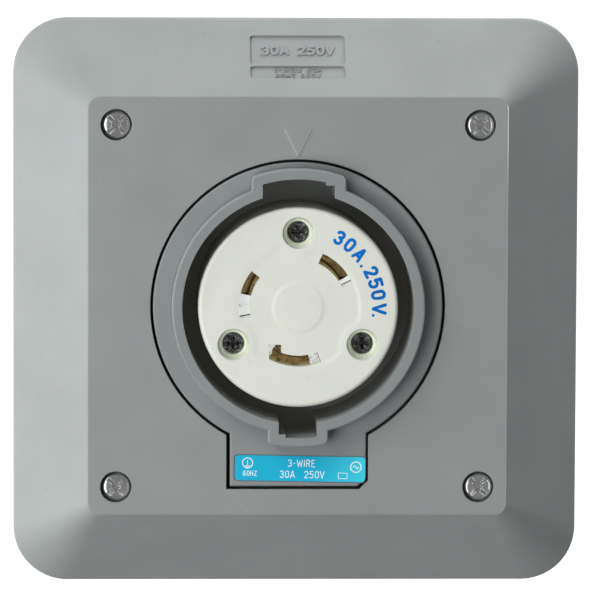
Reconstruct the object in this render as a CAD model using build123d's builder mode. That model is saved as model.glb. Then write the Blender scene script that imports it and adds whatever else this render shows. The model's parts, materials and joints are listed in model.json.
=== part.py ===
from build123d import *
from math import cos, radians, sin, sqrt
import os

# A locking receptacle in a keyed safety shroud, on a square bevelled cover and a wall box.
# Frame: the wall is the plane Y = 0, the front faces -Y, +Z is up, X runs to the viewer's right.
# Every "depth level" below is a distance from the wall, in millimetres.

# ---------------------------------------------------------------- driving dimensions
SCREW_PITCH_SQUARE = 88.9          # cover screws, centre to centre, both ways
COVER_SIZE = 139.7
COVER_CORNER = 13.4
COVER_UPRIGHT = 2.5                # height of the upright edge below the bevel
PANEL_SIZE = 102.6
PANEL_CORNER = 3.0
WALL = 3.0
BOX_SIZE = 114.3
BOX_CORNER = 8.0
BOX_WALL = 3.5

BOX_RIM = 45.0                     # front of the wall box
COVER_BACK = 46.5                  # back edge of the cover, on the gasket
PANEL_FRONT = 66.5                 # flat front panel of the cover
COLLAR_FRONT = 71.5                # rim of the shroud collar
FACE_FRONT = 69.1                  # white receptacle face
WELL_FLOOR = 44.5                  # bottom of the ring-shaped well
FLOOR_THICKNESS = 2.5

OPENING_RADIUS = 36.1              # keyhole opening in the cover
OPENING_TAB_HALF = 17.4
OPENING_TAB_BOTTOM = -45.0
OPENING_TAB_CHAMFER = 2.1
FLANGE_TAB_SHIFT = 0.2             # the flange's tab sits this far to the right in its opening
FLANGE_RADIUS = 35.4               # keyhole flange of the shroud
FLANGE_TAB_HALF = 16.7
FLANGE_TAB_BOTTOM = -44.25
REAR_FLANGE_MARGIN = 5.0
REAR_FLANGE_RADIUS = FLANGE_RADIUS + REAR_FLANGE_MARGIN

COLLAR_OUTER = 30.9
COLLAR_INNER = 28.3
TOP_KEY_HALF_OUTER = 11.55
TOP_KEY_HALF_INNER = 8.8
BOTTOM_KEY_HALF_OUTER = 7.4
BOTTOM_KEY_HALF_INNER = 4.7
KEY_RADIUS_OUTER = 34.1
TOP_KEY_RADIUS_INNER = 31.5
BOTTOM_KEY_RADIUS_INNER = 31.8

FACE_RADIUS = 24.45
FACE_WALL = 2.2
FACE_PLATE = 4.2
FACE_FLANGE_RADIUS = 28.0
BASE_RADIUS = 24.0
SLOT_INNER = 11.8
SLOT_OUTER = 14.5
SLOT_ANGLES = {"right": (25.8, 65.8), "left": (142.0, 190.4), "ground": (239.0, 293.0)}
FACE_SCREW_CIRCLE = 18.2
FACE_SCREW_ANGLES = {"top": 90, "left": 210, "right": 330}

HEAD_RADIUS = 3.43                 # number 6 pan head
HEAD_HEIGHT = 2.2
SHANK_RADIUS = 1.7
RUNNING = 0.08                     # radial running clearance of a turning piece
SPARE = 0.2                        # gap between pieces that don't touch
OVERRUN = 0.5                      # how far a block runs into its neighbour, so that the two join
PAST = 1.0                         # how far a cut or a web runs past the face it meets
RETAINER_TRAVEL = 8.0              # how far a captive cover screw backs out

TERMINAL_TRAVEL = 3.572            # clamp plate, 4.5 turns of an 0.794 mm thread
TERMINAL_LEVEL = 29.0
TERMINAL_SHANK = 2.0
TANG_INNER = 17.0
TANG_THICKNESS = 1.2

os.makedirs("parts", exist_ok=True)


def level(distance):
    """The plane parallel to the wall at this distance from it, facing the front."""
    return Plane.XZ.offset(distance)


def turned_level(distance, angle):
    """The same plane with its x axis turned to this angle from the +X direction."""
    across = (cos(radians(angle)), 0, sin(radians(angle)))
    return Plane(origin=(0, -distance, 0), x_dir=across, z_dir=(0, -1, 0))


def radial_plane(angle, radius, distance):
    """A plane facing outwards from the receptacle's axis; its y axis points to the front."""
    outward = (cos(radians(angle)), 0, sin(radians(angle)))
    across = (-sin(radians(angle)), 0, cos(radians(angle)))
    origin = (radius * outward[0], -distance, radius * outward[2])
    return Plane(origin=origin, x_dir=across, z_dir=outward)


def save(part, label):
    """Label one finished piece and write it to its own STEP file."""
    part.label = label
    export_step(part, f"parts/{label}.step")


def middle(slot):
    """The angle half-way along a slot."""
    start, end = SLOT_ANGLES[slot]
    return (start + end) / 2


# ---------------------------------------------------------------- shared outlines
def keyed_disc(radius, key_radius_top, top_half, key_radius_bottom, bottom_half):
    """A disc with a wide key at the top and a narrow key at the bottom."""
    with BuildSketch(Plane.XY) as outline:
        Circle(radius)
        for half, key_radius, side in ((top_half, key_radius_top, 1), (bottom_half, key_radius_bottom, -1)):
            shoulder = side * sqrt(key_radius**2 - half**2)
            with BuildLine():
                Polyline((-half, shoulder), (-half, 0), (half, 0), (half, shoulder))
                ThreePointArc((-half, shoulder), (0, side * key_radius), (half, shoulder))
            make_face()
    return outline.sketch


def keyhole(radius, tab_half, tab_bottom, tab_shift=0):
    """A disc with a square tab below it."""
    with BuildSketch(Plane.XY) as outline:
        Circle(radius)
        with Locations((tab_shift, 0)):
            Rectangle(2 * tab_half, -tab_bottom, align=(Align.CENTER, Align.MAX))
    return outline.sketch


def sector(inner, outer, start, end):
    """A curved slot between two radii and two angles."""
    sweep = end - start
    with BuildSketch(Plane.XY) as outline:
        with BuildLine():
            outer_arc = CenterArc((0, 0), outer, start, sweep)
            inner_arc = CenterArc((0, 0), inner, start, sweep)
            Line(outer_arc @ 0, inner_arc @ 0)
            Line(outer_arc @ 1, inner_arc @ 1)
        make_face()
    return outline.sketch


SCREW_HALF = SCREW_PITCH_SQUARE / 2
SCREW_CORNERS = {
    "top_left": (-SCREW_HALF, SCREW_HALF),
    "top_right": (SCREW_HALF, SCREW_HALF),
    "bottom_left": (-SCREW_HALF, -SCREW_HALF),
    "bottom_right": (SCREW_HALF, -SCREW_HALF),
}


# ---------------------------------------------------------------- wall box
BOX_INNER = BOX_SIZE - 2 * BOX_WALL
BOSS_RADIUS = 6.0
INSERT_RADIUS = 3.0
INSERT_LENGTH = 10.0
TIP_ROOM = 4.0                     # hole beyond the insert for the screw's tip
MOUNT_HOLE_RADIUS = 2.6
MOUNT_SPACING_X = 50.8
MOUNT_SPACING_Z = 88.9
CONDUIT_RADIUS = 14.3
CONDUIT_BOSS_RADIUS = 18.0
CONDUIT_BOSS_HEIGHT = 2.5
CONDUIT_LEVEL = 22.5
WEB_THICKNESS = 3.0
WEB_HEIGHT = 34.0
KNOCKOUT_RADIUS = 11.1
KNOCKOUT_GROOVE = 0.8
KNOCKOUT_SKIN = 1.0                # wall left at the bottom of the groove

with BuildPart() as back_box:
    with BuildSketch(level(0)):
        RectangleRounded(BOX_SIZE, BOX_SIZE, BOX_CORNER)
    extrude(amount=BOX_RIM)
    with BuildSketch(level(BOX_WALL)):
        RectangleRounded(BOX_INNER, BOX_INNER, BOX_CORNER - BOX_WALL)
    extrude(amount=BOX_RIM, mode=Mode.SUBTRACT)
    with BuildSketch(level(BOX_WALL - OVERRUN)):
        with GridLocations(SCREW_PITCH_SQUARE, SCREW_PITCH_SQUARE, 2, 2):
            Circle(BOSS_RADIUS)
    extrude(amount=BOX_RIM - BOX_WALL + OVERRUN)
    with BuildSketch(level(BOX_WALL - OVERRUN)):
        for x_side in (-1, 1):
            for z_side in (-1, 1):
                web_centre = (SCREW_HALF + BOX_INNER / 2) / 2
                web_length = BOX_INNER / 2 - SCREW_HALF + PAST
                with Locations((x_side * web_centre, z_side * SCREW_HALF)):
                    Rectangle(web_length, WEB_THICKNESS)
                with Locations((x_side * SCREW_HALF, z_side * web_centre)):
                    Rectangle(WEB_THICKNESS, web_length)
    extrude(amount=WEB_HEIGHT)
    with BuildSketch(level(BOX_RIM)):
        with GridLocations(SCREW_PITCH_SQUARE, SCREW_PITCH_SQUARE, 2, 2):
            Circle(INSERT_RADIUS)
    extrude(amount=-INSERT_LENGTH, mode=Mode.SUBTRACT)
    with BuildSketch(level(BOX_RIM)):
        with GridLocations(SCREW_PITCH_SQUARE, SCREW_PITCH_SQUARE, 2, 2):
            Circle(SHANK_RADIUS + SPARE)
    extrude(amount=-INSERT_LENGTH - TIP_ROOM, mode=Mode.SUBTRACT)
    with BuildSketch(level(0)):
        with GridLocations(MOUNT_SPACING_X, MOUNT_SPACING_Z, 2, 2):
            Circle(MOUNT_HOLE_RADIUS)
    extrude(amount=BOX_WALL, mode=Mode.SUBTRACT)
    box_bottom = Plane(origin=(0, -CONDUIT_LEVEL, -BOX_SIZE / 2), x_dir=(1, 0, 0), z_dir=(0, 0, -1))
    with BuildSketch(box_bottom):
        Circle(CONDUIT_BOSS_RADIUS)
    extrude(amount=CONDUIT_BOSS_HEIGHT)
    with BuildSketch(box_bottom):
        Circle(CONDUIT_RADIUS)
    extrude(amount=CONDUIT_BOSS_HEIGHT, mode=Mode.SUBTRACT)
    with BuildSketch(box_bottom):
        Circle(CONDUIT_RADIUS)
    extrude(amount=-BOX_WALL, mode=Mode.SUBTRACT)
    box_top = Plane(origin=(0, -CONDUIT_LEVEL, BOX_SIZE / 2), x_dir=(1, 0, 0), z_dir=(0, 0, 1))
    with BuildSketch(box_top):
        Circle(KNOCKOUT_RADIUS)
        Circle(KNOCKOUT_RADIUS - KNOCKOUT_GROOVE, mode=Mode.SUBTRACT)
    extrude(amount=KNOCKOUT_SKIN - BOX_WALL, mode=Mode.SUBTRACT)
save(back_box.part, "back_box")

with BuildPart() as box_inserts:
    with BuildSketch(level(BOX_RIM)):
        with GridLocations(SCREW_PITCH_SQUARE, SCREW_PITCH_SQUARE, 2, 2):
            Circle(INSERT_RADIUS)
            Circle(SHANK_RADIUS + RUNNING, mode=Mode.SUBTRACT)
    extrude(amount=-INSERT_LENGTH)
save(box_inserts.part, "box_inserts")

GASKET_INNER = 106.0
GASKET_EAR_RADIUS = 6.5
GASKET_HOLE_RADIUS = 3.9

with BuildPart() as box_gasket:
    with BuildSketch(level(BOX_RIM)):
        RectangleRounded(BOX_SIZE, BOX_SIZE, BOX_CORNER)
        RectangleRounded(GASKET_INNER, GASKET_INNER, BOX_CORNER - BOX_WALL, mode=Mode.SUBTRACT)
        for x_side in (-1, 1):
            for z_side in (-1, 1):
                with Locations((x_side * SCREW_HALF, z_side * SCREW_HALF)):
                    Circle(GASKET_EAR_RADIUS)
                ear_length = GASKET_INNER / 2 - SCREW_HALF + PAST
                ear_middle = SCREW_HALF + ear_length / 2
                with Locations((x_side * ear_middle, z_side * SCREW_HALF)):
                    Rectangle(ear_length, GASKET_EAR_RADIUS)
                with Locations((x_side * SCREW_HALF, z_side * ear_middle)):
                    Rectangle(GASKET_EAR_RADIUS, ear_length)
        with GridLocations(SCREW_PITCH_SQUARE, SCREW_PITCH_SQUARE, 2, 2):
            Circle(GASKET_HOLE_RADIUS, mode=Mode.SUBTRACT)
    extrude(amount=COVER_BACK - BOX_RIM)
save(box_gasket.part, "box_gasket")


# ---------------------------------------------------------------- front cover
BEVEL_BACK = COVER_BACK + COVER_UPRIGHT
BEVEL_EDGE_BAND = (-BEVEL_BACK - 0.01, -BEVEL_BACK + 0.01)
BEVEL_RUN = (COVER_SIZE - PANEL_SIZE) / 2
BEVEL_RISE = PANEL_FRONT - BEVEL_BACK
BEVEL_SLOPE = sqrt(BEVEL_RUN**2 + BEVEL_RISE**2)
INNER_OPEN = COVER_SIZE - 2 * WALL
INNER_BEND = COVER_BACK + 1.2      # where the inside of the upright edge turns into the bevel
INNER_PANEL = 100.2                # flat area on the inside of the panel
PANEL_BACK = PANEL_FRONT - WALL
RIB_OUTER = BOX_SIZE - 0.4
RIB_THICKNESS = 3.6
WELL_RADIUS = 3.85                 # counterbore round each screw head
WELL_BOTTOM = 63.9
TUBE_RADIUS = 6.2
TUBE_BORE = 1.95
POCKET_RADIUS = 3.6
RETAINER_BACK = 47.5
RETAINER_THICKNESS = 1.0
POCKET_FLOOR = RETAINER_BACK + RETAINER_THICKNESS + RETAINER_TRAVEL + SPARE
LUG_CIRCLE = 44.0
LUG_ANGLES = (45, 135, 225, 315)
LUG_BOSS_RADIUS = 3.5
LUG_FRONT = 57.5
LUG_PILOT = 1.35
POINTER_HALF = 3.65
POINTER_TIP = 36.3
POINTER_TOP = 43.6
POINTER_HEIGHT = 0.3
POINTER_TAPER = 45
PLAQUE_HALF = 11.65
PLAQUE_DEPTH = 0.5
PLAQUE_CORNER = 0.9
PANEL_EDGE_ROUND = 0.45
BEVEL_EDGE_ROUND = 1.6
PLAQUE_SPANS = ((0.413, 0.775), (0.235, 0.388))

with BuildPart() as front_cover:
    with BuildSketch(level(COVER_BACK)):
        RectangleRounded(COVER_SIZE, COVER_SIZE, COVER_CORNER)
    extrude(amount=COVER_UPRIGHT)
    with BuildSketch(level(BEVEL_BACK)):
        RectangleRounded(COVER_SIZE, COVER_SIZE, COVER_CORNER)
    with BuildSketch(level(PANEL_FRONT)):
        RectangleRounded(PANEL_SIZE, PANEL_SIZE, PANEL_CORNER)
    loft(ruled=True)
    fillet(front_cover.edges().filter_by(Plane.XZ).group_by(Axis.Y)[0], radius=PANEL_EDGE_ROUND)
    bevel_edges = front_cover.edges().filter_by(Plane.XZ).filter_by_position(Axis.Y, *BEVEL_EDGE_BAND)
    fillet(bevel_edges, radius=BEVEL_EDGE_ROUND)
    with BuildSketch(level(COVER_BACK)):
        RectangleRounded(INNER_OPEN, INNER_OPEN, COVER_CORNER - WALL)
    extrude(amount=INNER_BEND - COVER_BACK, mode=Mode.SUBTRACT)
    with BuildSketch(level(INNER_BEND)):
        RectangleRounded(INNER_OPEN, INNER_OPEN, COVER_CORNER - WALL)
    with BuildSketch(level(PANEL_BACK)):
        RectangleRounded(INNER_PANEL, INNER_PANEL, PANEL_CORNER)
    loft(ruled=True, mode=Mode.SUBTRACT)
    with BuildSketch(level(COVER_BACK)):
        RectangleRounded(RIB_OUTER, RIB_OUTER, BOX_CORNER)
        RectangleRounded(RIB_OUTER - 2 * RIB_THICKNESS, RIB_OUTER - 2 * RIB_THICKNESS,
                         BOX_CORNER - RIB_THICKNESS, mode=Mode.SUBTRACT)
    extrude(until=Until.NEXT)
    with BuildSketch(level(COVER_BACK)):
        with GridLocations(SCREW_PITCH_SQUARE, SCREW_PITCH_SQUARE, 2, 2):
            Circle(TUBE_RADIUS)
    extrude(amount=WELL_BOTTOM - COVER_BACK)
    with BuildSketch(level(LUG_FRONT)):
        with PolarLocations(LUG_CIRCLE, len(LUG_ANGLES), start_angle=LUG_ANGLES[0]):
            Circle(LUG_BOSS_RADIUS)
    extrude(amount=PANEL_BACK - LUG_FRONT + OVERRUN)
    with BuildSketch(level(LUG_FRONT)):
        with PolarLocations(LUG_CIRCLE, len(LUG_ANGLES), start_angle=LUG_ANGLES[0]):
            Circle(LUG_PILOT)
    extrude(amount=PANEL_BACK - LUG_FRONT + PAST, mode=Mode.SUBTRACT)
    with BuildSketch(level(PANEL_FRONT)) as opening:
        add(keyhole(OPENING_RADIUS, OPENING_TAB_HALF, OPENING_TAB_BOTTOM))
        chamfer(opening.vertices().group_by(Axis.Y)[0].sort_by(Axis.X)[-1], length=OPENING_TAB_CHAMFER)
    extrude(amount=-2 * WALL, mode=Mode.SUBTRACT)
    with BuildSketch(level(PANEL_FRONT)):
        with GridLocations(SCREW_PITCH_SQUARE, SCREW_PITCH_SQUARE, 2, 2):
            Circle(WELL_RADIUS)
    extrude(amount=WELL_BOTTOM - PANEL_FRONT, mode=Mode.SUBTRACT)
    with BuildSketch(level(COVER_BACK)):
        with GridLocations(SCREW_PITCH_SQUARE, SCREW_PITCH_SQUARE, 2, 2):
            Circle(POCKET_RADIUS)
    extrude(amount=POCKET_FLOOR - COVER_BACK, mode=Mode.SUBTRACT)
    with BuildSketch(level(COVER_BACK)):
        with GridLocations(SCREW_PITCH_SQUARE, SCREW_PITCH_SQUARE, 2, 2):
            Circle(TUBE_BORE)
    extrude(amount=WELL_BOTTOM - COVER_BACK, mode=Mode.SUBTRACT)
    with BuildSketch(level(PANEL_FRONT)):
        Polygon((0, POINTER_TIP), (POINTER_HALF, POINTER_TOP), (-POINTER_HALF, POINTER_TOP), align=None)
    extrude(amount=POINTER_HEIGHT, taper=POINTER_TAPER)
    bevel_plane = Plane(
        origin=(0, -PANEL_FRONT, PANEL_SIZE / 2),
        x_dir=(1, 0, 0),
        z_dir=(0, -BEVEL_RUN / BEVEL_SLOPE, BEVEL_RISE / BEVEL_SLOPE),
    )
    with BuildSketch(bevel_plane):
        for start, end in PLAQUE_SPANS:
            with Locations((0, (start + end) / 2 * BEVEL_SLOPE)):
                RectangleRounded(2 * PLAQUE_HALF, (end - start) * BEVEL_SLOPE, PLAQUE_CORNER)
    extrude(amount=-PLAQUE_DEPTH, mode=Mode.SUBTRACT)
save(front_cover.part, "front_cover")


# ---------------------------------------------------------------- captive cover screws
SCREW_TIP = 37.5
RETAINER_OUTER = 3.3
GROOVE_RADIUS = 1.4
GROOVE_SPARE = 0.1
RECESS_ARM = 3.6
RECESS_WIDTH = 0.95
RECESS_DEPTH = 1.7
RECESS_TAPER = 12
HEAD_ROUND = 1.3
TIP_CHAMFER = 0.6


def cover_screw(centre):
    """Pan-head screw with a cross recess and a groove for its retainer."""
    with BuildPart() as screw:
        with BuildSketch(level(WELL_BOTTOM)):
            with Locations(centre):
                Circle(HEAD_RADIUS)
        extrude(amount=HEAD_HEIGHT)
        fillet(screw.edges().group_by(Axis.Y)[0], radius=HEAD_ROUND)
        with BuildSketch(level(SCREW_TIP)):
            with Locations(centre):
                Circle(SHANK_RADIUS)
        extrude(amount=WELL_BOTTOM - SCREW_TIP)
        chamfer(screw.edges().group_by(Axis.Y)[-1], length=TIP_CHAMFER)
        with BuildSketch(level(RETAINER_BACK - GROOVE_SPARE)):
            with Locations(centre):
                Circle(SHANK_RADIUS + OVERRUN)
                Circle(GROOVE_RADIUS, mode=Mode.SUBTRACT)
        extrude(amount=RETAINER_THICKNESS + 2 * GROOVE_SPARE, mode=Mode.SUBTRACT)
        with BuildSketch(level(WELL_BOTTOM + HEAD_HEIGHT)):
            with Locations(centre):
                Rectangle(RECESS_ARM, RECESS_WIDTH, rotation=45)
                Rectangle(RECESS_ARM, RECESS_WIDTH, rotation=-45)
        extrude(amount=-RECESS_DEPTH, taper=RECESS_TAPER, mode=Mode.SUBTRACT)
    return screw.part


def screw_retainer(centre):
    """Ring that keeps a cover screw captive in its tube."""
    with BuildPart() as ring:
        with BuildSketch(level(RETAINER_BACK)):
            with Locations(centre):
                Circle(RETAINER_OUTER)
                Circle(GROOVE_RADIUS + RUNNING, mode=Mode.SUBTRACT)
        extrude(amount=RETAINER_THICKNESS)
    return ring.part


for corner, centre in SCREW_CORNERS.items():
    save(cover_screw(centre), f"cover_screw_{corner}")
    save(screw_retainer(centre), f"screw_retainer_{corner}")


# ---------------------------------------------------------------- safety shroud
REAR_FLANGE_FRONT = 62.7
REAR_FLANGE_BACK = 60.2
LUG_THICKNESS = 2.5
LUG_HALF_WIDTH = 4.5
LUG_HOLE = 1.5
STRAP_BOSS_CIRCLE = 34.0
STRAP_BOSS_RADIUS = 3.4
STRAP_BOSS_BACK = 39.5
STRAP_BOSS_FRONT = 54.0
STRAP_PILOT = 1.35
FLOOR_HOLE = FACE_RADIUS + 0.15
LABEL_WIDTH = 32.0
LABEL_HEIGHT = 6.2
LABEL_CORNER = 1.0
LABEL_CENTRE = (0.7, -39.9)
LABEL_TURN = -1.0
LABEL_THICKNESS = 0.25
LABEL_RECESS = 0.2
KEY_CORNER = 1.5
RIM_ROUND = 0.5
FLANGE_EDGE = 0.3
TOP_STEP = (2.2, 1.5)              # small step in the upper right corner of the top keyway
BOTTOM_STEP = (1.7, 0.9)           # small step in the lower left corner of the bottom keyway
STEP_BLOCK = 4.0
GUSSET_THICKNESS = 2.0
STRAP_PILOT_DEPTH = 12.0


def collar_outline():
    """The collar's outside: a circle with a wide key at the top and a narrow one at the bottom."""
    with BuildSketch(Plane.XY) as outline:
        add(keyed_disc(COLLAR_OUTER, KEY_RADIUS_OUTER, TOP_KEY_HALF_OUTER, KEY_RADIUS_OUTER,
                       BOTTOM_KEY_HALF_OUTER))
        fillet(outline.vertices().group_by(Axis.Y)[0], radius=KEY_CORNER)
        fillet(outline.vertices().group_by(Axis.Y)[-1], radius=KEY_CORNER)
    return outline.sketch


with BuildPart() as shroud_flange:
    with BuildSketch(level(REAR_FLANGE_FRONT)) as flange:
        add(keyhole(FLANGE_RADIUS, FLANGE_TAB_HALF, FLANGE_TAB_BOTTOM, FLANGE_TAB_SHIFT))
        chamfer(flange.vertices().group_by(Axis.Y)[0].sort_by(Axis.X)[-1], length=OPENING_TAB_CHAMFER)
    extrude(amount=PANEL_FRONT - REAR_FLANGE_FRONT)
    chamfer(shroud_flange.edges().group_by(Axis.Y)[0], length=FLANGE_EDGE)
    with BuildSketch(level(REAR_FLANGE_BACK)):
        add(keyhole(REAR_FLANGE_RADIUS, FLANGE_TAB_HALF + REAR_FLANGE_MARGIN,
                    FLANGE_TAB_BOTTOM - REAR_FLANGE_MARGIN))
    extrude(amount=REAR_FLANGE_FRONT - REAR_FLANGE_BACK)
    with BuildSketch(level(REAR_FLANGE_BACK)):
        add(collar_outline())
    extrude(amount=PANEL_FRONT - REAR_FLANGE_BACK, mode=Mode.SUBTRACT)
    with BuildSketch(level(PANEL_FRONT)):
        with Locations(LABEL_CENTRE):
            RectangleRounded(LABEL_WIDTH + 2 * SPARE, LABEL_HEIGHT + 2 * SPARE, LABEL_CORNER,
                             rotation=LABEL_TURN)
    extrude(amount=-LABEL_RECESS, mode=Mode.SUBTRACT)
save(shroud_flange.part, "shroud_flange")

with BuildPart() as shroud:
    with BuildSketch(level(WELL_FLOOR - FLOOR_THICKNESS)):
        add(collar_outline())
    extrude(amount=COLLAR_FRONT - WELL_FLOOR + FLOOR_THICKNESS)
    fillet(shroud.edges().group_by(Axis.Y)[0], radius=RIM_ROUND)
    with BuildSketch(level(LUG_FRONT - LUG_THICKNESS)):
        with PolarLocations((COLLAR_OUTER + LUG_CIRCLE) / 2 - PAST, len(LUG_ANGLES),
                            start_angle=LUG_ANGLES[0]):
            Rectangle(LUG_CIRCLE - COLLAR_OUTER + 2 * PAST, 2 * LUG_HALF_WIDTH)
        with PolarLocations(LUG_CIRCLE, len(LUG_ANGLES), start_angle=LUG_ANGLES[0]):
            Circle(LUG_HALF_WIDTH)
    extrude(amount=LUG_THICKNESS)
    with BuildSketch(level(LUG_FRONT)):
        with PolarLocations((COLLAR_OUTER + REAR_FLANGE_RADIUS) / 2 - PAST, len(LUG_ANGLES),
                            start_angle=LUG_ANGLES[0]):
            Rectangle(REAR_FLANGE_RADIUS - COLLAR_OUTER - PAST, GUSSET_THICKNESS)
    extrude(amount=REAR_FLANGE_BACK - LUG_FRONT)
    with BuildSketch(level(LUG_FRONT - LUG_THICKNESS)):
        with PolarLocations(LUG_CIRCLE, len(LUG_ANGLES), start_angle=LUG_ANGLES[0]):
            Circle(LUG_HOLE)
    extrude(amount=LUG_THICKNESS, mode=Mode.SUBTRACT)
    with BuildSketch(level(STRAP_BOSS_BACK)):
        with Locations((-STRAP_BOSS_CIRCLE, 0), (STRAP_BOSS_CIRCLE, 0)):
            Circle(STRAP_BOSS_RADIUS)
    extrude(amount=STRAP_BOSS_FRONT - STRAP_BOSS_BACK)
    with BuildSketch(level(WELL_FLOOR)):
        add(keyed_disc(COLLAR_INNER, TOP_KEY_RADIUS_INNER, TOP_KEY_HALF_INNER, BOTTOM_KEY_RADIUS_INNER,
                       BOTTOM_KEY_HALF_INNER))
        with Locations((TOP_KEY_HALF_INNER - TOP_STEP[0], TOP_KEY_RADIUS_INNER - TOP_STEP[1])):
            Rectangle(STEP_BLOCK, STEP_BLOCK, align=(Align.MIN, Align.MIN), mode=Mode.SUBTRACT)
        with Locations((BOTTOM_STEP[0] - BOTTOM_KEY_HALF_INNER, BOTTOM_STEP[1] - BOTTOM_KEY_RADIUS_INNER)):
            Rectangle(STEP_BLOCK, STEP_BLOCK, align=(Align.MAX, Align.MAX), mode=Mode.SUBTRACT)
    extrude(amount=COLLAR_FRONT, mode=Mode.SUBTRACT)
    with BuildSketch(level(WELL_FLOOR)):
        Circle(FLOOR_HOLE)
    extrude(amount=-FLOOR_THICKNESS, mode=Mode.SUBTRACT)
    with BuildSketch(level(STRAP_BOSS_BACK)):
        with Locations((-STRAP_BOSS_CIRCLE, 0), (STRAP_BOSS_CIRCLE, 0)):
            Circle(STRAP_PILOT)
    extrude(amount=STRAP_PILOT_DEPTH, mode=Mode.SUBTRACT)
save(shroud.part, "shroud")

with BuildPart() as rating_label:
    with BuildSketch(level(PANEL_FRONT - LABEL_RECESS)):
        with Locations(LABEL_CENTRE):
            RectangleRounded(LABEL_WIDTH, LABEL_HEIGHT, LABEL_CORNER, rotation=LABEL_TURN)
    extrude(amount=LABEL_THICKNESS)
save(rating_label.part, "rating_label")

with BuildPart() as shroud_gasket:
    with BuildSketch(level(REAR_FLANGE_FRONT)):
        add(keyhole(REAR_FLANGE_RADIUS, FLANGE_TAB_HALF + REAR_FLANGE_MARGIN,
                    FLANGE_TAB_BOTTOM - REAR_FLANGE_MARGIN))
        add(keyhole(FLANGE_RADIUS, FLANGE_TAB_HALF, FLANGE_TAB_BOTTOM, FLANGE_TAB_SHIFT), mode=Mode.SUBTRACT)
        with PolarLocations(LUG_CIRCLE, len(LUG_ANGLES), start_angle=LUG_ANGLES[0]):
            Circle(LUG_BOSS_RADIUS + SPARE, mode=Mode.SUBTRACT)
    extrude(amount=PANEL_BACK - REAR_FLANGE_FRONT)
save(shroud_gasket.part, "shroud_gasket")

SMALL_HEAD_RADIUS = 2.8
SMALL_HEAD_HEIGHT = 1.8
SMALL_SHANK = 1.3
SMALL_RECESS_ARM = 3.0
SMALL_RECESS_WIDTH = 0.8
SMALL_RECESS_DEPTH = 1.1
SHROUD_SCREW_LENGTH = 8.0
STRAP_SCREW_LENGTH = 10.0


def rear_screws(positions, head_front, length):
    """A group of small self-tapping screws driven from behind; positions are in the wall's plane."""
    with BuildPart() as group:
        for position in positions:
            with BuildSketch(level(head_front - SMALL_HEAD_HEIGHT)):
                with Locations(position):
                    Circle(SMALL_HEAD_RADIUS)
            extrude(amount=SMALL_HEAD_HEIGHT)
            with BuildSketch(level(head_front)):
                with Locations(position):
                    Circle(SMALL_SHANK)
            extrude(amount=length)
            with BuildSketch(level(head_front - SMALL_HEAD_HEIGHT)):
                with Locations(position):
                    Rectangle(SMALL_RECESS_ARM, SMALL_RECESS_WIDTH)
                    Rectangle(SMALL_RECESS_WIDTH, SMALL_RECESS_ARM)
            extrude(amount=SMALL_RECESS_DEPTH, mode=Mode.SUBTRACT)
    return group.part


lug_positions = [
    (LUG_CIRCLE * cos(radians(angle)), LUG_CIRCLE * sin(radians(angle)))
    for angle in LUG_ANGLES
]
save(rear_screws(lug_positions, LUG_FRONT - LUG_THICKNESS, SHROUD_SCREW_LENGTH), "shroud_screws")


# ---------------------------------------------------------------- receptacle face
DISH_DROP = 0.45
FACE_EDGE = 1.0
DISH_INNER = 7.0
DISH_OUTER = 15.4
DOME_RADIUS = 5.4
DOME_DROP = 0.05
DISH_SLOPE = 1.2
RECESS_MOUTH = 3.8
RECESS_LEDGE = 65.2
RECESS_TAPER_FACE = 9
HEAD_POCKET = 2.75
FACE_SCREW_HEAD_FRONT = 65.2
FACE_SCREW_SEAT = 63.4
FACE_BOSS_BACK = 61.9
FACE_BOSS_RADIUS = 4.2
SCALLOP_RADIUS = 5.0
SCALLOP_TAPER = 45
SLOT_HOOK_LEFT = -7.1
SLOT_HOOK_RIGHT = -4.1
SLOT_HOOK_TOP = -9.1
SLOT_HOOK_BOTTOM = -12.6
FACE_FLANGE_BACK = STRAP_BOSS_BACK
FACE_FLANGE_FRONT = WELL_FLOOR - FLOOR_THICKNESS


def slot_outline(slot):
    """The opening of one blade slot; the ground slot has a square hook at its left end."""
    start, end = SLOT_ANGLES[slot]
    with BuildSketch(Plane.XY) as outline:
        add(sector(SLOT_INNER, SLOT_OUTER, start, end))
        if slot == "ground":
            with BuildLine():
                Polyline((SLOT_HOOK_LEFT, SLOT_HOOK_TOP), (SLOT_HOOK_RIGHT, SLOT_HOOK_TOP),
                         (SLOT_HOOK_RIGHT, SLOT_HOOK_BOTTOM), (SLOT_HOOK_LEFT, SLOT_HOOK_BOTTOM), close=True)
            make_face()
    return outline.sketch


SECTION = Plane(origin=(0, 0, 0), x_dir=(1, 0, 0), z_dir=(0, 0, -1))
DOME_FRONT = FACE_FRONT - DOME_DROP
DISH_FRONT = FACE_FRONT - DISH_DROP
PLATE_BACK = FACE_FRONT - FACE_PLATE
ASSEMBLY_HOLE = 1.65
FACE_SCREW_SPOTS = {
    name: (FACE_SCREW_CIRCLE * cos(radians(angle)), FACE_SCREW_CIRCLE * sin(radians(angle)))
    for name, angle in FACE_SCREW_ANGLES.items()
}

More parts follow.
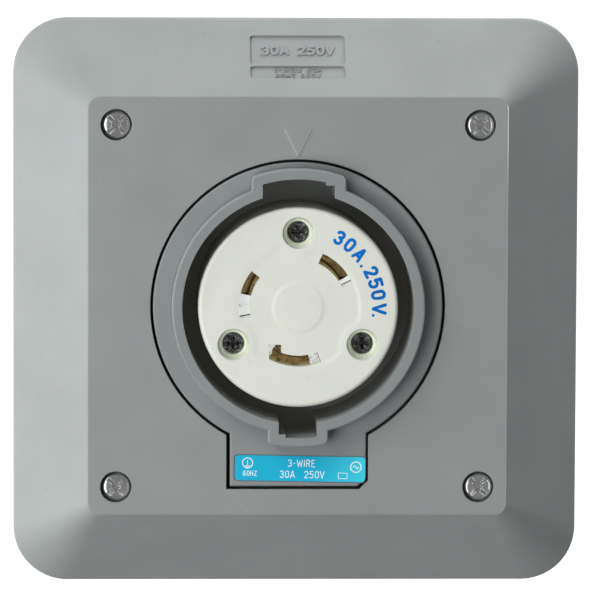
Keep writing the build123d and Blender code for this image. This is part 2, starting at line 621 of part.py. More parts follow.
with BuildPart() as receptacle_face:
    with BuildSketch(SECTION):
        with BuildLine():
            Polyline(
                (0, PLATE_BACK),
                (0, DOME_FRONT),
                (DOME_RADIUS, DOME_FRONT),
                (DISH_INNER, DISH_FRONT),
                (DISH_OUTER - DISH_SLOPE, DISH_FRONT),
                (DISH_OUTER, FACE_FRONT),
                (FACE_RADIUS - FACE_EDGE, FACE_FRONT),
                (FACE_RADIUS - FACE_EDGE / 3, FACE_FRONT - FACE_EDGE / 3),
                (FACE_RADIUS, FACE_FRONT - FACE_EDGE),
                (FACE_RADIUS, FACE_FLANGE_FRONT),
                (FACE_FLANGE_RADIUS, FACE_FLANGE_FRONT),
                (FACE_FLANGE_RADIUS, FACE_FLANGE_BACK),
                (FACE_RADIUS - FACE_WALL, FACE_FLANGE_BACK),
                (FACE_RADIUS - FACE_WALL, PLATE_BACK),
                close=True,
            )
        make_face()
    revolve(axis=Axis.Y)
    with BuildSketch(level(DISH_FRONT)):
        with Locations(*FACE_SCREW_SPOTS.values()):
            Circle(SCALLOP_RADIUS + DISH_DROP)
    extrude(amount=DISH_DROP, taper=SCALLOP_TAPER)
    with BuildSketch(level(FACE_BOSS_BACK)):
        with Locations(*FACE_SCREW_SPOTS.values()):
            Circle(FACE_BOSS_RADIUS)
    extrude(amount=PLATE_BACK - FACE_BOSS_BACK)
    with BuildSketch(level(FACE_FRONT)):
        with Locations(*FACE_SCREW_SPOTS.values()):
            Circle(RECESS_MOUTH)
    extrude(amount=RECESS_LEDGE - FACE_FRONT, taper=RECESS_TAPER_FACE, mode=Mode.SUBTRACT)
    with BuildSketch(level(FACE_SCREW_SEAT)):
        with Locations(*FACE_SCREW_SPOTS.values()):
            Circle(HEAD_POCKET)
    extrude(amount=RECESS_LEDGE - FACE_SCREW_SEAT, mode=Mode.SUBTRACT)
    with BuildSketch(level(FACE_BOSS_BACK)):
        with Locations(*FACE_SCREW_SPOTS.values()):
            Circle(ASSEMBLY_HOLE)
    extrude(amount=FACE_SCREW_SEAT - FACE_BOSS_BACK, mode=Mode.SUBTRACT)
    with BuildSketch(level(PLATE_BACK)):
        for slot in SLOT_ANGLES:
            add(slot_outline(slot))
    extrude(amount=FACE_PLATE + PAST, mode=Mode.SUBTRACT)
save(receptacle_face.part, "receptacle_face")

FACE_SCREW_HEAD_RADIUS = 2.6
FACE_SCREW_SHANK = 1.5
FACE_SCREW_TIP = 12.4
FACE_SCREW_ROUND = 0.5


def face_screw(centre):
    """Long assembly screw with a small round head and a cross recess."""
    with BuildPart() as screw:
        with BuildSketch(level(FACE_SCREW_SEAT)):
            with Locations(centre):
                Circle(FACE_SCREW_HEAD_RADIUS)
        extrude(amount=FACE_SCREW_HEAD_FRONT - FACE_SCREW_SEAT)
        fillet(screw.edges().group_by(Axis.Y)[0], radius=FACE_SCREW_ROUND)
        with BuildSketch(level(FACE_SCREW_TIP)):
            with Locations(centre):
                Circle(FACE_SCREW_SHANK)
        extrude(amount=FACE_SCREW_SEAT - FACE_SCREW_TIP)
        with BuildSketch(level(FACE_SCREW_HEAD_FRONT)):
            with Locations(centre):
                Rectangle(SMALL_RECESS_ARM, SMALL_RECESS_WIDTH)
                Rectangle(SMALL_RECESS_WIDTH, SMALL_RECESS_ARM)
        extrude(amount=-SMALL_RECESS_DEPTH, taper=RECESS_TAPER, mode=Mode.SUBTRACT)
    return screw.part


for name, spot in FACE_SCREW_SPOTS.items():
    save(face_screw(spot), f"face_screw_{name}")


# ---------------------------------------------------------------- receptacle base
BASE_BACK = 17.0
CORE_RADIUS = FACE_RADIUS - FACE_WALL - SPARE
CORE_FRONT = PLATE_BACK - SPARE
CAVITY_INNER = {"right": 10.2, "left": 10.2, "ground": 8.4}
CAVITY_OUTER = 16.4
CAVITY_SPARE = 4.0                 # degrees of room beyond each end of a slot
CAVITY_FLOOR = 42.2
WEB_BACK = 41.0
TANG_OUTER = TANG_INNER + TANG_THICKNESS
POCKET_INNER = 9.0
POCKET_HALF = 5.5
POCKET_BACK = 19.5
POCKET_FRONT = 36.5
TANG_HALF = 5.0
WIRE_RADIUS = 2.0
WIRE_OFFSET = 3.9
WIRE_CIRCLE = 15.1

with BuildPart() as insulator:
    with BuildSketch(level(BASE_BACK)):
        Circle(BASE_RADIUS)
    extrude(amount=STRAP_BOSS_BACK - BASE_BACK)
    with BuildSketch(level(STRAP_BOSS_BACK)):
        Circle(CORE_RADIUS)
    extrude(amount=CORE_FRONT - STRAP_BOSS_BACK)
    for slot, (start, end) in SLOT_ANGLES.items():
        with BuildSketch(level(CAVITY_FLOOR)):
            add(sector(CAVITY_INNER[slot], CAVITY_OUTER, start - CAVITY_SPARE, end + CAVITY_SPARE))
        extrude(amount=CORE_FRONT - CAVITY_FLOOR, mode=Mode.SUBTRACT)
        with BuildSketch(turned_level(WEB_BACK - SPARE, middle(slot))):
            with Locations((CAVITY_INNER[slot], 0)):
                Rectangle(TANG_OUTER + SPARE - CAVITY_INNER[slot], 2 * POCKET_HALF,
                          align=(Align.MIN, Align.CENTER))
        extrude(amount=CAVITY_FLOOR - WEB_BACK + 2 * SPARE, mode=Mode.SUBTRACT)
        with BuildSketch(turned_level(POCKET_FRONT, middle(slot))):
            with Locations(((TANG_INNER + TANG_OUTER) / 2, 0)):
                Rectangle(TANG_THICKNESS + 2 * SPARE, 2 * TANG_HALF + 2 * SPARE)
        extrude(amount=WEB_BACK - POCKET_FRONT, mode=Mode.SUBTRACT)
        with BuildSketch(turned_level(POCKET_BACK, middle(slot))):
            with Locations((POCKET_INNER, 0)):
                Rectangle(BASE_RADIUS + PAST - POCKET_INNER, 2 * POCKET_HALF,
                          align=(Align.MIN, Align.CENTER))
        extrude(amount=POCKET_FRONT - POCKET_BACK, mode=Mode.SUBTRACT)
        with BuildSketch(turned_level(BASE_BACK, middle(slot))):
            with Locations((WIRE_CIRCLE, WIRE_OFFSET), (WIRE_CIRCLE, -WIRE_OFFSET)):
                Circle(WIRE_RADIUS)
        extrude(amount=POCKET_BACK - BASE_BACK, mode=Mode.SUBTRACT)
    with BuildSketch(level(BASE_BACK)):
        with Locations(*FACE_SCREW_SPOTS.values()):
            Circle(ASSEMBLY_HOLE)
    extrude(amount=CORE_FRONT - BASE_BACK, mode=Mode.SUBTRACT)
    with BuildSketch(level(FACE_BOSS_BACK - SPARE)):
        with Locations(*FACE_SCREW_SPOTS.values()):
            Circle(FACE_BOSS_RADIUS + SPARE)
    extrude(amount=CORE_FRONT - FACE_BOSS_BACK + SPARE, mode=Mode.SUBTRACT)

with BuildPart() as front_half:
    with BuildSketch(level(STRAP_BOSS_BACK)):
        Circle(BASE_RADIUS)
    extrude(amount=CORE_FRONT - STRAP_BOSS_BACK)

save(insulator.part - front_half.part, "receptacle_base")
save(insulator.part & front_half.part, "receptacle_core")

REAR_CAP_BACK = 14.0
REAR_CAP_ROUND = 1.0

with BuildPart() as rear_cap:
    with BuildSketch(level(REAR_CAP_BACK)):
        Circle(BASE_RADIUS)
    extrude(amount=BASE_BACK - REAR_CAP_BACK)
    fillet(rear_cap.edges().group_by(Axis.Y)[-1], radius=REAR_CAP_ROUND)
    with BuildSketch(level(REAR_CAP_BACK)):
        with Locations(*FACE_SCREW_SPOTS.values()):
            Circle(ASSEMBLY_HOLE)
    extrude(amount=BASE_BACK - REAR_CAP_BACK, mode=Mode.SUBTRACT)
    for slot in SLOT_ANGLES:
        with BuildSketch(turned_level(REAR_CAP_BACK, middle(slot))):
            with Locations((WIRE_CIRCLE, WIRE_OFFSET), (WIRE_CIRCLE, -WIRE_OFFSET)):
                Circle(WIRE_RADIUS)
        extrude(amount=BASE_BACK - REAR_CAP_BACK, mode=Mode.SUBTRACT)
save(rear_cap.part, "rear_cap")

NUT_HEIGHT = 2.2
NUT_RADIUS = 3.1
NUT_CLEARANCE = 0.03

with BuildPart() as assembly_nuts:
    with BuildSketch(level(REAR_CAP_BACK - NUT_HEIGHT)):
        with Locations(*FACE_SCREW_SPOTS.values()):
            RegularPolygon(NUT_RADIUS, 6)
            Circle(FACE_SCREW_SHANK + NUT_CLEARANCE, mode=Mode.SUBTRACT)
    extrude(amount=NUT_HEIGHT)
save(assembly_nuts.part, "assembly_nuts")

STRAP_THICKNESS = 1.6
STRAP_EAR_RADIUS = 4.6
STRAP_OUTER = 30.4

with BuildPart() as mounting_strap:
    with BuildSketch(level(STRAP_BOSS_BACK - STRAP_THICKNESS)):
        Circle(STRAP_OUTER)
        Rectangle(2 * STRAP_BOSS_CIRCLE, 2 * STRAP_EAR_RADIUS)
        with Locations((-STRAP_BOSS_CIRCLE, 0), (STRAP_BOSS_CIRCLE, 0)):
            Circle(STRAP_EAR_RADIUS)
            Circle(LUG_HOLE, mode=Mode.SUBTRACT)
        Circle(BASE_RADIUS + SPARE, mode=Mode.SUBTRACT)
    extrude(amount=STRAP_THICKNESS)
save(mounting_strap.part, "mounting_strap")

strap_positions = [(-STRAP_BOSS_CIRCLE, 0), (STRAP_BOSS_CIRCLE, 0)]
save(rear_screws(strap_positions, STRAP_BOSS_BACK - STRAP_THICKNESS, STRAP_SCREW_LENGTH), "strap_screws")


# ---------------------------------------------------------------- contacts, clips and terminals
LEAF_OUTER = (14.2, 15.1)
LEAF_INNER = (11.2, 12.1)
LEAF_BACK = CAVITY_FLOOR + SPARE
LEAF_FRONT = 62.0
LEAF_OVERLAP = 0.5                 # degrees that the leaves run past each end of a slot
CLIP_END = (3.0, 1.2)              # degrees before the slot's start between which the clip is closed
CLIP_STOP = 4.0                    # degrees before the slot's end at which it stops
TAB_BACK = 63.4
TAB_FRONT = 64.3
TAB_ANGLES = {"right": (26.5, 31.0), "left": (168.0, 189.6), "ground": (282.5, 292.2)}
TANG_BACK = 21.0
TANG_HOLE = 2.15
CLIP_BACK = 46.0
CLIP_FRONT = 58.0
CLIP_OUTER = (15.3, 15.9)
CLIP_INNER = (10.5, 11.0)
CLAMP_THICKNESS = 1.6
CLAMP_INNER = TANG_INNER - SPARE - TERMINAL_TRAVEL - CLAMP_THICKNESS
CLAMP_CLEARANCE = 0.06
CLAMP_GROOVE = 0.5
CLAMP_HALF = 5.0
CLAMP_HEIGHT = 12.0
TERMINAL_HEAD_RADIUS = 4.0
TERMINAL_HEAD_HEIGHT = 2.3
TERMINAL_HEAD_SEAT = TANG_OUTER + RUNNING
TERMINAL_SLOT = (5.4, 1.0)
TERMINAL_CROSS = (1.0, 4.2)
TERMINAL_SLOT_DEPTH = 1.3
TERMINAL_TIP = 9.5


def contact(slot):
    """Female contact: two curved leaves joined by a web, with a tang back to the terminal."""
    start, end = SLOT_ANGLES[slot]
    with BuildPart() as blade_contact:
        with BuildSketch(level(LEAF_BACK)):
            add(sector(*LEAF_OUTER, start - LEAF_OVERLAP, end + LEAF_OVERLAP))
            add(sector(*LEAF_INNER, start - LEAF_OVERLAP, end + LEAF_OVERLAP))
        extrude(amount=LEAF_FRONT - LEAF_BACK)
        with BuildSketch(level(LEAF_FRONT)):
            add(sector(*LEAF_OUTER, *TAB_ANGLES[slot]))
            add(sector(*LEAF_INNER, *TAB_ANGLES[slot]))
        extrude(amount=TAB_FRONT - LEAF_FRONT)
        with BuildSketch(level(TAB_BACK)):
            add(sector(LEAF_INNER[0], LEAF_OUTER[1], *TAB_ANGLES[slot]))
        extrude(amount=TAB_FRONT - TAB_BACK)
        with BuildSketch(turned_level(WEB_BACK, middle(slot))):
            with Locations((LEAF_INNER[0], 0)):
                Rectangle(TANG_OUTER - LEAF_INNER[0], 2 * TANG_HALF, align=(Align.MIN, Align.CENTER))
        extrude(amount=LEAF_BACK - WEB_BACK)
        with BuildSketch(turned_level(TANG_BACK, middle(slot))):
            with Locations(((TANG_INNER + TANG_OUTER) / 2, 0)):
                Rectangle(TANG_THICKNESS, 2 * TANG_HALF)
        extrude(amount=WEB_BACK - TANG_BACK)
        with BuildSketch(radial_plane(middle(slot), TANG_INNER - PAST, TERMINAL_LEVEL)):
            Circle(TANG_HOLE)
        extrude(amount=TANG_THICKNESS + 2 * PAST, mode=Mode.SUBTRACT)
    return blade_contact.part


def contact_clip(slot):
    """Spring clip that presses the two leaves together."""
    start, end = SLOT_ANGLES[slot]
    with BuildPart() as clip:
        with BuildSketch(level(CLIP_BACK)):
            add(sector(*CLIP_OUTER, start - CLIP_END[0], end - CLIP_STOP))
            add(sector(*CLIP_INNER, start - CLIP_END[0], end - CLIP_STOP))
            add(sector(CLIP_INNER[0], CLIP_OUTER[1], start - CLIP_END[0], start - CLIP_END[1]))
        extrude(amount=CLIP_FRONT - CLIP_BACK)
    return clip.part


def terminal_clamp(slot):
    """Threaded plate that the terminal screw draws outwards against the wires."""
    with BuildPart() as clamp:
        with BuildSketch(turned_level(TERMINAL_LEVEL - CLAMP_HEIGHT / 2, middle(slot))):
            with Locations((CLAMP_INNER + CLAMP_THICKNESS / 2, 0)):
                Rectangle(CLAMP_THICKNESS, 2 * CLAMP_HALF)
            with Locations((CLAMP_INNER + CLAMP_THICKNESS, CLAMP_GROOVE - WIRE_OFFSET),
                           (CLAMP_INNER + CLAMP_THICKNESS, WIRE_OFFSET - CLAMP_GROOVE)):
                Circle(CLAMP_GROOVE, mode=Mode.SUBTRACT)
        extrude(amount=CLAMP_HEIGHT)
        with BuildSketch(radial_plane(middle(slot), CLAMP_INNER - PAST, TERMINAL_LEVEL)):
            Circle(TERMINAL_SHANK + CLAMP_CLEARANCE)
        extrude(amount=CLAMP_THICKNESS + 2 * PAST, mode=Mode.SUBTRACT)
    return clamp.part


def terminal_screw(slot):
    """Terminal screw on a radial axis, its head outside the tang."""
    head_plane = radial_plane(middle(slot), TERMINAL_HEAD_SEAT, TERMINAL_LEVEL)
    top_plane = radial_plane(middle(slot), TERMINAL_HEAD_SEAT + TERMINAL_HEAD_HEIGHT, TERMINAL_LEVEL)
    with BuildPart() as screw:
        with BuildSketch(head_plane):
            Circle(TERMINAL_HEAD_RADIUS)
        extrude(amount=TERMINAL_HEAD_HEIGHT)
        with BuildSketch(head_plane):
            Circle(TERMINAL_SHANK)
        extrude(amount=TERMINAL_TIP - TERMINAL_HEAD_SEAT)
        with BuildSketch(top_plane):
            Rectangle(*TERMINAL_SLOT)
            Rectangle(*TERMINAL_CROSS)
        extrude(amount=-TERMINAL_SLOT_DEPTH, mode=Mode.SUBTRACT)
    return screw.part


for slot in SLOT_ANGLES:
    save(contact(slot), f"contact_{slot}")
    save(contact_clip(slot), f"contact_clip_{slot}")
    save(terminal_clamp(slot), f"terminal_clamp_{slot}")
    save(terminal_screw(slot), f"terminal_screw_{slot}")
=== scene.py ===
import json
import math

import bmesh
import bpy
from mathutils import Matrix, Vector


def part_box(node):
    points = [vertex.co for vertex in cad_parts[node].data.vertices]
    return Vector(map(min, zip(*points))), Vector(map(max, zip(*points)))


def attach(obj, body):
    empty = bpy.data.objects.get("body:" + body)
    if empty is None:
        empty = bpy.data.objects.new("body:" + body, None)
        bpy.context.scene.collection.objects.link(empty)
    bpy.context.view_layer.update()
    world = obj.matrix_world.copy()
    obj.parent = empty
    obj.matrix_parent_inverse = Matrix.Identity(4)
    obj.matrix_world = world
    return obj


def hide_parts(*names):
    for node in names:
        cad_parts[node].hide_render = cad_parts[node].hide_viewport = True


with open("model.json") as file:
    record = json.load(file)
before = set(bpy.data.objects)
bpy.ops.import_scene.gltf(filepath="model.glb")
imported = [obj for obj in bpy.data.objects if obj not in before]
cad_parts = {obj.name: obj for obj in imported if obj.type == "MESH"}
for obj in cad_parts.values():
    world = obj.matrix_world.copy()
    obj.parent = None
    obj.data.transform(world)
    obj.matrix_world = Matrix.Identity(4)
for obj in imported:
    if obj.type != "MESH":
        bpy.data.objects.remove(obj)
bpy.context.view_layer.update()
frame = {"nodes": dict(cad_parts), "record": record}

# Everything is in metres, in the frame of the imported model: the wall is Y = 0, the front faces -Y, +Z is up.
MM = 0.001
scene = bpy.context.scene
nodes_by_name = frame["nodes"]

# ---------------------------------------------------------------- places read from the model
# Sizes are in millimetres, and a level is a distance from the wall.
face_low, face_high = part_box("receptacle_face")
FACE_FRONT = -face_low.y / MM
FACE_FLANGE_BACK = -face_high.y / MM
FACE_FLANGE_RADIUS = (face_high.x - face_low.x) / 2 / MM
LABEL_RISE = 0.05                  # the label stands this far above the panel
LABEL_FRONT = -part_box("rating_label")[0].y / MM
PANEL_FRONT = LABEL_FRONT - LABEL_RISE
CORNERS = ("top_left", "top_right", "bottom_left", "bottom_right")


# ---------------------------------------------------------------- material helpers
BEVEL_SAMPLES = 6


def blank(name):
    """A new node material with its shader, ready to be wired."""
    material = bpy.data.materials.new(name)
    material.use_nodes = True
    tree = material.node_tree
    shader = tree.nodes["Principled BSDF"]
    return material, tree, shader


def coordinates(tree):
    return tree.nodes.new("ShaderNodeTexCoord").outputs["Object"]


def noise(tree, vector, scale, detail=3.0, roughness=0.55, distortion=0.0):
    node = tree.nodes.new("ShaderNodeTexNoise")
    node.inputs["Scale"].default_value = scale
    node.inputs["Detail"].default_value = detail
    node.inputs["Roughness"].default_value = roughness
    node.inputs["Distortion"].default_value = distortion
    tree.links.new(vector, node.inputs["Vector"])
    return node.outputs["Fac"]


def stretched(tree, vector, scale):
    node = tree.nodes.new("ShaderNodeMapping")
    node.inputs["Scale"].default_value = scale
    tree.links.new(vector, node.inputs["Vector"])
    return node.outputs["Vector"]


def separate(tree, vector):
    """The X, Y and Z sockets of a vector."""
    node = tree.nodes.new("ShaderNodeSeparateXYZ")
    tree.links.new(vector, node.inputs[0])
    return node.outputs


def axis_distance(tree, vector):
    """How far a point lies from the receptacle's axis."""
    node = tree.nodes.new("ShaderNodeVectorMath")
    node.operation = "LENGTH"
    tree.links.new(stretched(tree, vector, (1.0, 0.0, 1.0)), node.inputs[0])
    return node.outputs["Value"]


def ramp(tree, factor, *stops):
    """A colour ramp; each stop is (position, (r, g, b))."""
    node = tree.nodes.new("ShaderNodeValToRGB")
    while len(node.color_ramp.elements) < len(stops):
        node.color_ramp.elements.new(0.5)
    for element, (position, colour) in zip(node.color_ramp.elements, stops):
        element.position = position
        element.color = (*colour, 1.0)
    tree.links.new(factor, node.inputs["Fac"])
    return node.outputs["Color"]


def remap(tree, value, low, high, to_low, to_high):
    node = tree.nodes.new("ShaderNodeMapRange")
    for socket, number in zip(node.inputs[1:5], (low, high, to_low, to_high)):
        socket.default_value = number
    tree.links.new(value, node.inputs["Value"])
    return node.outputs["Result"]


def arithmetic(tree, operation, first, second):
    node = tree.nodes.new("ShaderNodeMath")
    node.operation = operation
    tree.links.new(first, node.inputs[0])
    tree.links.new(second, node.inputs[1])
    return node.outputs["Value"]


def multiply(tree, first, second):
    return arithmetic(tree, "MULTIPLY", first, second)


def maximum(tree, first, second):
    return arithmetic(tree, "MAXIMUM", first, second)


def blend(tree, factor, first, second):
    """Mix two colour sockets by a factor socket."""
    node = tree.nodes.new("ShaderNodeMix")
    node.data_type = "RGBA"
    tree.links.new(factor, node.inputs[0])
    tree.links.new(first, node.inputs[6])
    tree.links.new(second, node.inputs[7])
    return node.outputs[2]


def blend_towards(tree, factor, first, second_colour):
    """Mix a colour socket towards one fixed colour by a factor socket."""
    node = tree.nodes.new("ShaderNodeMix")
    node.data_type = "RGBA"
    tree.links.new(factor, node.inputs[0])
    tree.links.new(first, node.inputs[6])
    node.inputs[7].default_value = (*second_colour, 1.0)
    return node.outputs[2]


def soft_edges(tree, radius):
    """Normals that run round every edge, as a moulded edge does."""
    node = tree.nodes.new("ShaderNodeBevel")
    node.samples = BEVEL_SAMPLES
    node.inputs["Radius"].default_value = radius * MM
    return node.outputs["Normal"]


def bump(tree, shader, height, distance, strength=1.0, under=None):
    node = tree.nodes.new("ShaderNodeBump")
    node.inputs["Strength"].default_value = strength
    node.inputs["Distance"].default_value = distance
    tree.links.new(height, node.inputs["Height"])
    if under is not None:
        tree.links.new(under, node.inputs["Normal"])
    tree.links.new(node.outputs["Normal"], shader.inputs["Normal"])
    return node.outputs["Normal"]


def shade(colour, amount):
    return tuple(channel * amount for channel in colour)


def plastic(name, colour, roughness, grain=0.012, grain_scale=2600, mottle=0.05, specular=0.45,
            dust=0.35, edge=0.0):
    """Moulded plastic: slow mottling, fine texture from the mould, a few specks of dust."""
    material, tree, shader = blank(name)
    where = coordinates(tree)
    cloudy = noise(tree, where, 55, detail=5)
    base = ramp(tree, cloudy, (0.3, shade(colour, 1 - mottle)), (0.7, shade(colour, 1 + mottle)))
    speck = noise(tree, where, 900, detail=1)
    dark = remap(tree, speck, 0.755, 0.79, 0.0, dust)
    base = blend_towards(tree, dark, base, shade(colour, 0.45))
    pale = remap(tree, noise(tree, where, 1300, detail=1), 0.775, 0.81, 0.0, dust)
    base = blend_towards(tree, pale, base, shade(colour, 1.9))
    tree.links.new(base, shader.inputs["Base Color"])
    satin = noise(tree, where, 140, detail=4)
    tree.links.new(remap(tree, satin, 0.3, 0.7, roughness - 0.05, roughness + 0.05), shader.inputs["Roughness"])
    shader.inputs["Specular IOR Level"].default_value = specular
    fine = noise(tree, where, grain_scale, detail=2)
    rounded = soft_edges(tree, edge) if edge else None
    lower = bump(tree, shader, fine, grain * MM, 1.0, under=rounded)
    wave = noise(tree, where, 45, detail=2)
    bump(tree, shader, wave, 0.12 * MM, 0.5, under=lower)
    return material


def metal(name, colour, roughness, scratch=0.01, tarnish=0.12, scale=900, metallic=1.0, edge=0.0):
    """Metal with uneven tarnish, fine scratches and varied gloss."""
    material, tree, shader = blank(name)
    where = coordinates(tree)
    stain = noise(tree, where, 260, detail=6, distortion=0.4)
    base = ramp(tree, stain, (0.32, shade(colour, 1 - tarnish)), (0.68, colour))
    tree.links.new(base, shader.inputs["Base Color"])
    shader.inputs["Metallic"].default_value = metallic
    worn = noise(tree, where, 700, detail=5)
    tree.links.new(remap(tree, worn, 0.3, 0.7, roughness * 0.75, roughness * 1.3), shader.inputs["Roughness"])
    fine = noise(tree, where, scale, detail=6, roughness=0.7)
    rounded = soft_edges(tree, edge) if edge else None
    bump(tree, shader, fine, scratch * MM, 1.0, under=rounded)
    return material


def paint(node_name, material):
    """Give a CAD node this material."""
    node = nodes_by_name[node_name]
    node.data.materials.clear()
    node.data.materials.append(material)


# ---------------------------------------------------------------- materials
COVER_GREY = (0.249, 0.266, 0.265)
cover_plastic = plastic("cover_plastic", COVER_GREY, 0.50, specular=0.3, edge=0.3)
shroud_plastic = plastic("shroud_plastic", (0.219, 0.237, 0.238), 0.46, specular=0.3, edge=0.3)
box_plastic = plastic("box_plastic", (0.225, 0.243, 0.243), 0.50)
base_plastic = plastic("base_plastic", (0.022, 0.022, 0.024), 0.42, mottle=0.15)
seal_rubber = plastic("seal_rubber", (0.026, 0.027, 0.029), 0.75, mottle=0.2, specular=0.3)
retainer_nylon = plastic("retainer_nylon", (0.62, 0.62, 0.58), 0.45)
label_ink = plastic("label_ink", (0.80, 0.88, 0.90), 0.35, grain=0.002, dust=0.1)
blue_ink = plastic("blue_ink", (0.0, 0.135, 0.48), 0.45, grain=0.004, mottle=0.12, specular=0.15, dust=0.2)
brass = metal("brass", (0.52, 0.33, 0.11), 0.28, tarnish=0.45)
nickel = metal("nickel", (0.66, 0.64, 0.60), 0.25)
zinc = metal("zinc", (0.60, 0.61, 0.62), 0.38, tarnish=0.2)
spring_steel = metal("spring_steel", (0.40, 0.40, 0.42), 0.30, tarnish=0.3)
screw_steel = metal("screw_steel", (0.84, 0.85, 0.84), 0.16, scratch=0.002, edge=0.2)
green_steel = metal("green_steel", (0.04, 0.28, 0.10), 0.35, metallic=0.7)


COLLAR_BORE = (28.35, 28.6)        # the radii between which the collar's glow ends
KEYWAY_REACH = (32.0, 32.3)        # the same for the keyways
KEYWAY_LEVELS = (66.0, 65.6)       # the keyways glow only behind these levels
WELL_GLOW = 0.010


def warm_well(material):
    """Light that comes off the white face on to the inside of the collar."""
    tree = material.node_tree
    shader = tree.nodes["Principled BSDF"]
    radius = axis_distance(tree, coordinates(tree))
    across_wall = separate(tree, coordinates(tree))["Y"]
    collar = remap(tree, radius, COLLAR_BORE[0] * MM, COLLAR_BORE[1] * MM, 1.0, 0.0)
    keyways = remap(tree, radius, KEYWAY_REACH[0] * MM, KEYWAY_REACH[1] * MM, 1.0, 0.0)
    sunk = remap(tree, across_wall, -KEYWAY_LEVELS[0] * MM, -KEYWAY_LEVELS[1] * MM, 0.0, 1.0)
    within = maximum(tree, collar, multiply(tree, keyways, sunk))
    shader.inputs["Emission Color"].default_value = (1.0, 0.95, 0.74, 1.0)
    tree.links.new(remap(tree, within, 0.0, 1.0, 0.0, WELL_GLOW), shader.inputs["Emission Strength"])


warm_well(shroud_plastic)


# painted highlight: these set a bright line painted into the cover's colour along the panel's right edge
EDGE_HIGHLIGHT_RADIUS = 0.22
EDGE_HIGHLIGHT_HEIGHTS = (28, 40)       # the painted highlight grows to its full brightness between these heights
EDGE_HIGHLIGHT_BRIGHTNESS = 3.2


def painted_edge_highlight(material):
    """A painted highlight: a bright line painted into the colour where the panel turns into the right bevel, strongest
    near its top corner.
    """
    tree = material.node_tree
    shader = tree.nodes["Principled BSDF"]
    normal = separate(tree, soft_edges(tree, EDGE_HIGHLIGHT_RADIUS))
    # only normals part of the way from the panel's to the right bevel's, and not round the corner
    rising = remap(tree, normal["X"], 0.05, 0.16, 0.0, 1.0)
    falling = remap(tree, normal["X"], 0.34, 0.5, 1.0, 0.0)
    facing = remap(tree, normal["Y"], -0.8, -0.9, 0.0, 1.0)
    upright = remap(tree, normal["Z"], 0.04, 0.12, 1.0, 0.0)
    height = separate(tree, coordinates(tree))["Z"]
    near_top = remap(tree, height, EDGE_HIGHLIGHT_HEIGHTS[0] * MM, EDGE_HIGHLIGHT_HEIGHTS[1] * MM, 0.2, 1.0)
    sides = multiply(tree, rising, falling)
    highlight_mask = multiply(tree, sides, multiply(tree, facing, multiply(tree, near_top, upright)))
    base = shader.inputs["Base Color"].links[0].from_socket
    # painted highlight: the base colour is brightened along the edge
    pale = blend_towards(tree, highlight_mask, base, shade(COVER_GREY, EDGE_HIGHLIGHT_BRIGHTNESS))
    tree.links.new(pale, shader.inputs["Base Color"])


painted_edge_highlight(cover_plastic)


def blackened_steel():
    """Black screw finish, rough, with pale flecks painted in as the head's scattered highlights."""
    material, tree, shader = blank("dark_steel")
    where = coordinates(tree)
    fleck = noise(tree, where, 1500, detail=5, roughness=0.75, distortion=1.2)
    # painted highlights: the pale top stop of this ramp paints the head's scattered highlights
    base = ramp(tree, fleck, (0.40, (0.022, 0.022, 0.024)), (0.53, (0.085, 0.088, 0.093)),
                (0.61, (0.52, 0.53, 0.54)))
    tree.links.new(base, shader.inputs["Base Color"])
    shader.inputs["Metallic"].default_value = 0.8
    tree.links.new(remap(tree, fleck, 0.35, 0.65, 0.5, 0.28), shader.inputs["Roughness"])
    lower = bump(tree, shader, fleck, 0.14 * MM, 0.9)
    bump(tree, shader, noise(tree, where, 3200, detail=3), 0.04 * MM, 0.8, under=lower)
    return material


HOLE_SHADE = (0.5, 3.4)            # how far behind the face's front the painted shade in the holes begins and is full
FACE_GLOW_REACH = (22.3, 22.8)     # the radii between which that shade ends
FACE_GLOW = 0.20


def nylon_face():
    """White nylon: a little translucent, with painted shade that makes it greener and darker down inside its holes, and
    a painted glow there.
    """
    material, tree, shader = blank("nylon")
    where = coordinates(tree)
    cloudy = noise(tree, where, 70, detail=4)
    base = ramp(tree, cloudy, (0.3, (0.665, 0.683, 0.625)), (0.7, (0.705, 0.72, 0.665)))
    across_wall = separate(tree, where)["Y"]
    sunk = remap(tree, across_wall, (-FACE_FRONT + HOLE_SHADE[0]) * MM, (-FACE_FRONT + HOLE_SHADE[1]) * MM,
                 0.0, 1.0)
    radius = axis_distance(tree, where)
    within = remap(tree, radius, FACE_GLOW_REACH[0] * MM, FACE_GLOW_REACH[1] * MM, 1.0, 0.0)
    depth = multiply(tree, sunk, within)
    # painted shade: the colour turns greener and darker deeper inside the holes
    base = blend_towards(tree, depth, base, (0.60, 0.63, 0.51))
    speck = remap(tree, noise(tree, where, 1100, detail=1), 0.75, 0.78, 0.0, 0.25)
    base = blend_towards(tree, speck, base, (0.35, 0.34, 0.30))
    tree.links.new(base, shader.inputs["Base Color"])
    # light that the nylon carries down into its holes
    shader.inputs["Emission Color"].default_value = (0.60, 0.645, 0.52, 1.0)
    tree.links.new(remap(tree, depth, 0.0, 1.0, 0.0, FACE_GLOW), shader.inputs["Emission Strength"])
    satin = noise(tree, where, 160, detail=4)
    tree.links.new(remap(tree, satin, 0.3, 0.7, 0.26, 0.36), shader.inputs["Roughness"])
    shader.inputs["Specular IOR Level"].default_value = 0.5
    shader.inputs["Subsurface Weight"].default_value = 0.25
    shader.inputs["Subsurface Radius"].default_value = (1.0 * MM, 1.0 * MM, 0.7 * MM)
    lower = bump(tree, shader, noise(tree, where, 2400, detail=2), 0.004 * MM, 1.0)
    bump(tree, shader, noise(tree, where, 110, detail=3), 0.10 * MM, 0.6, under=lower)
    return material


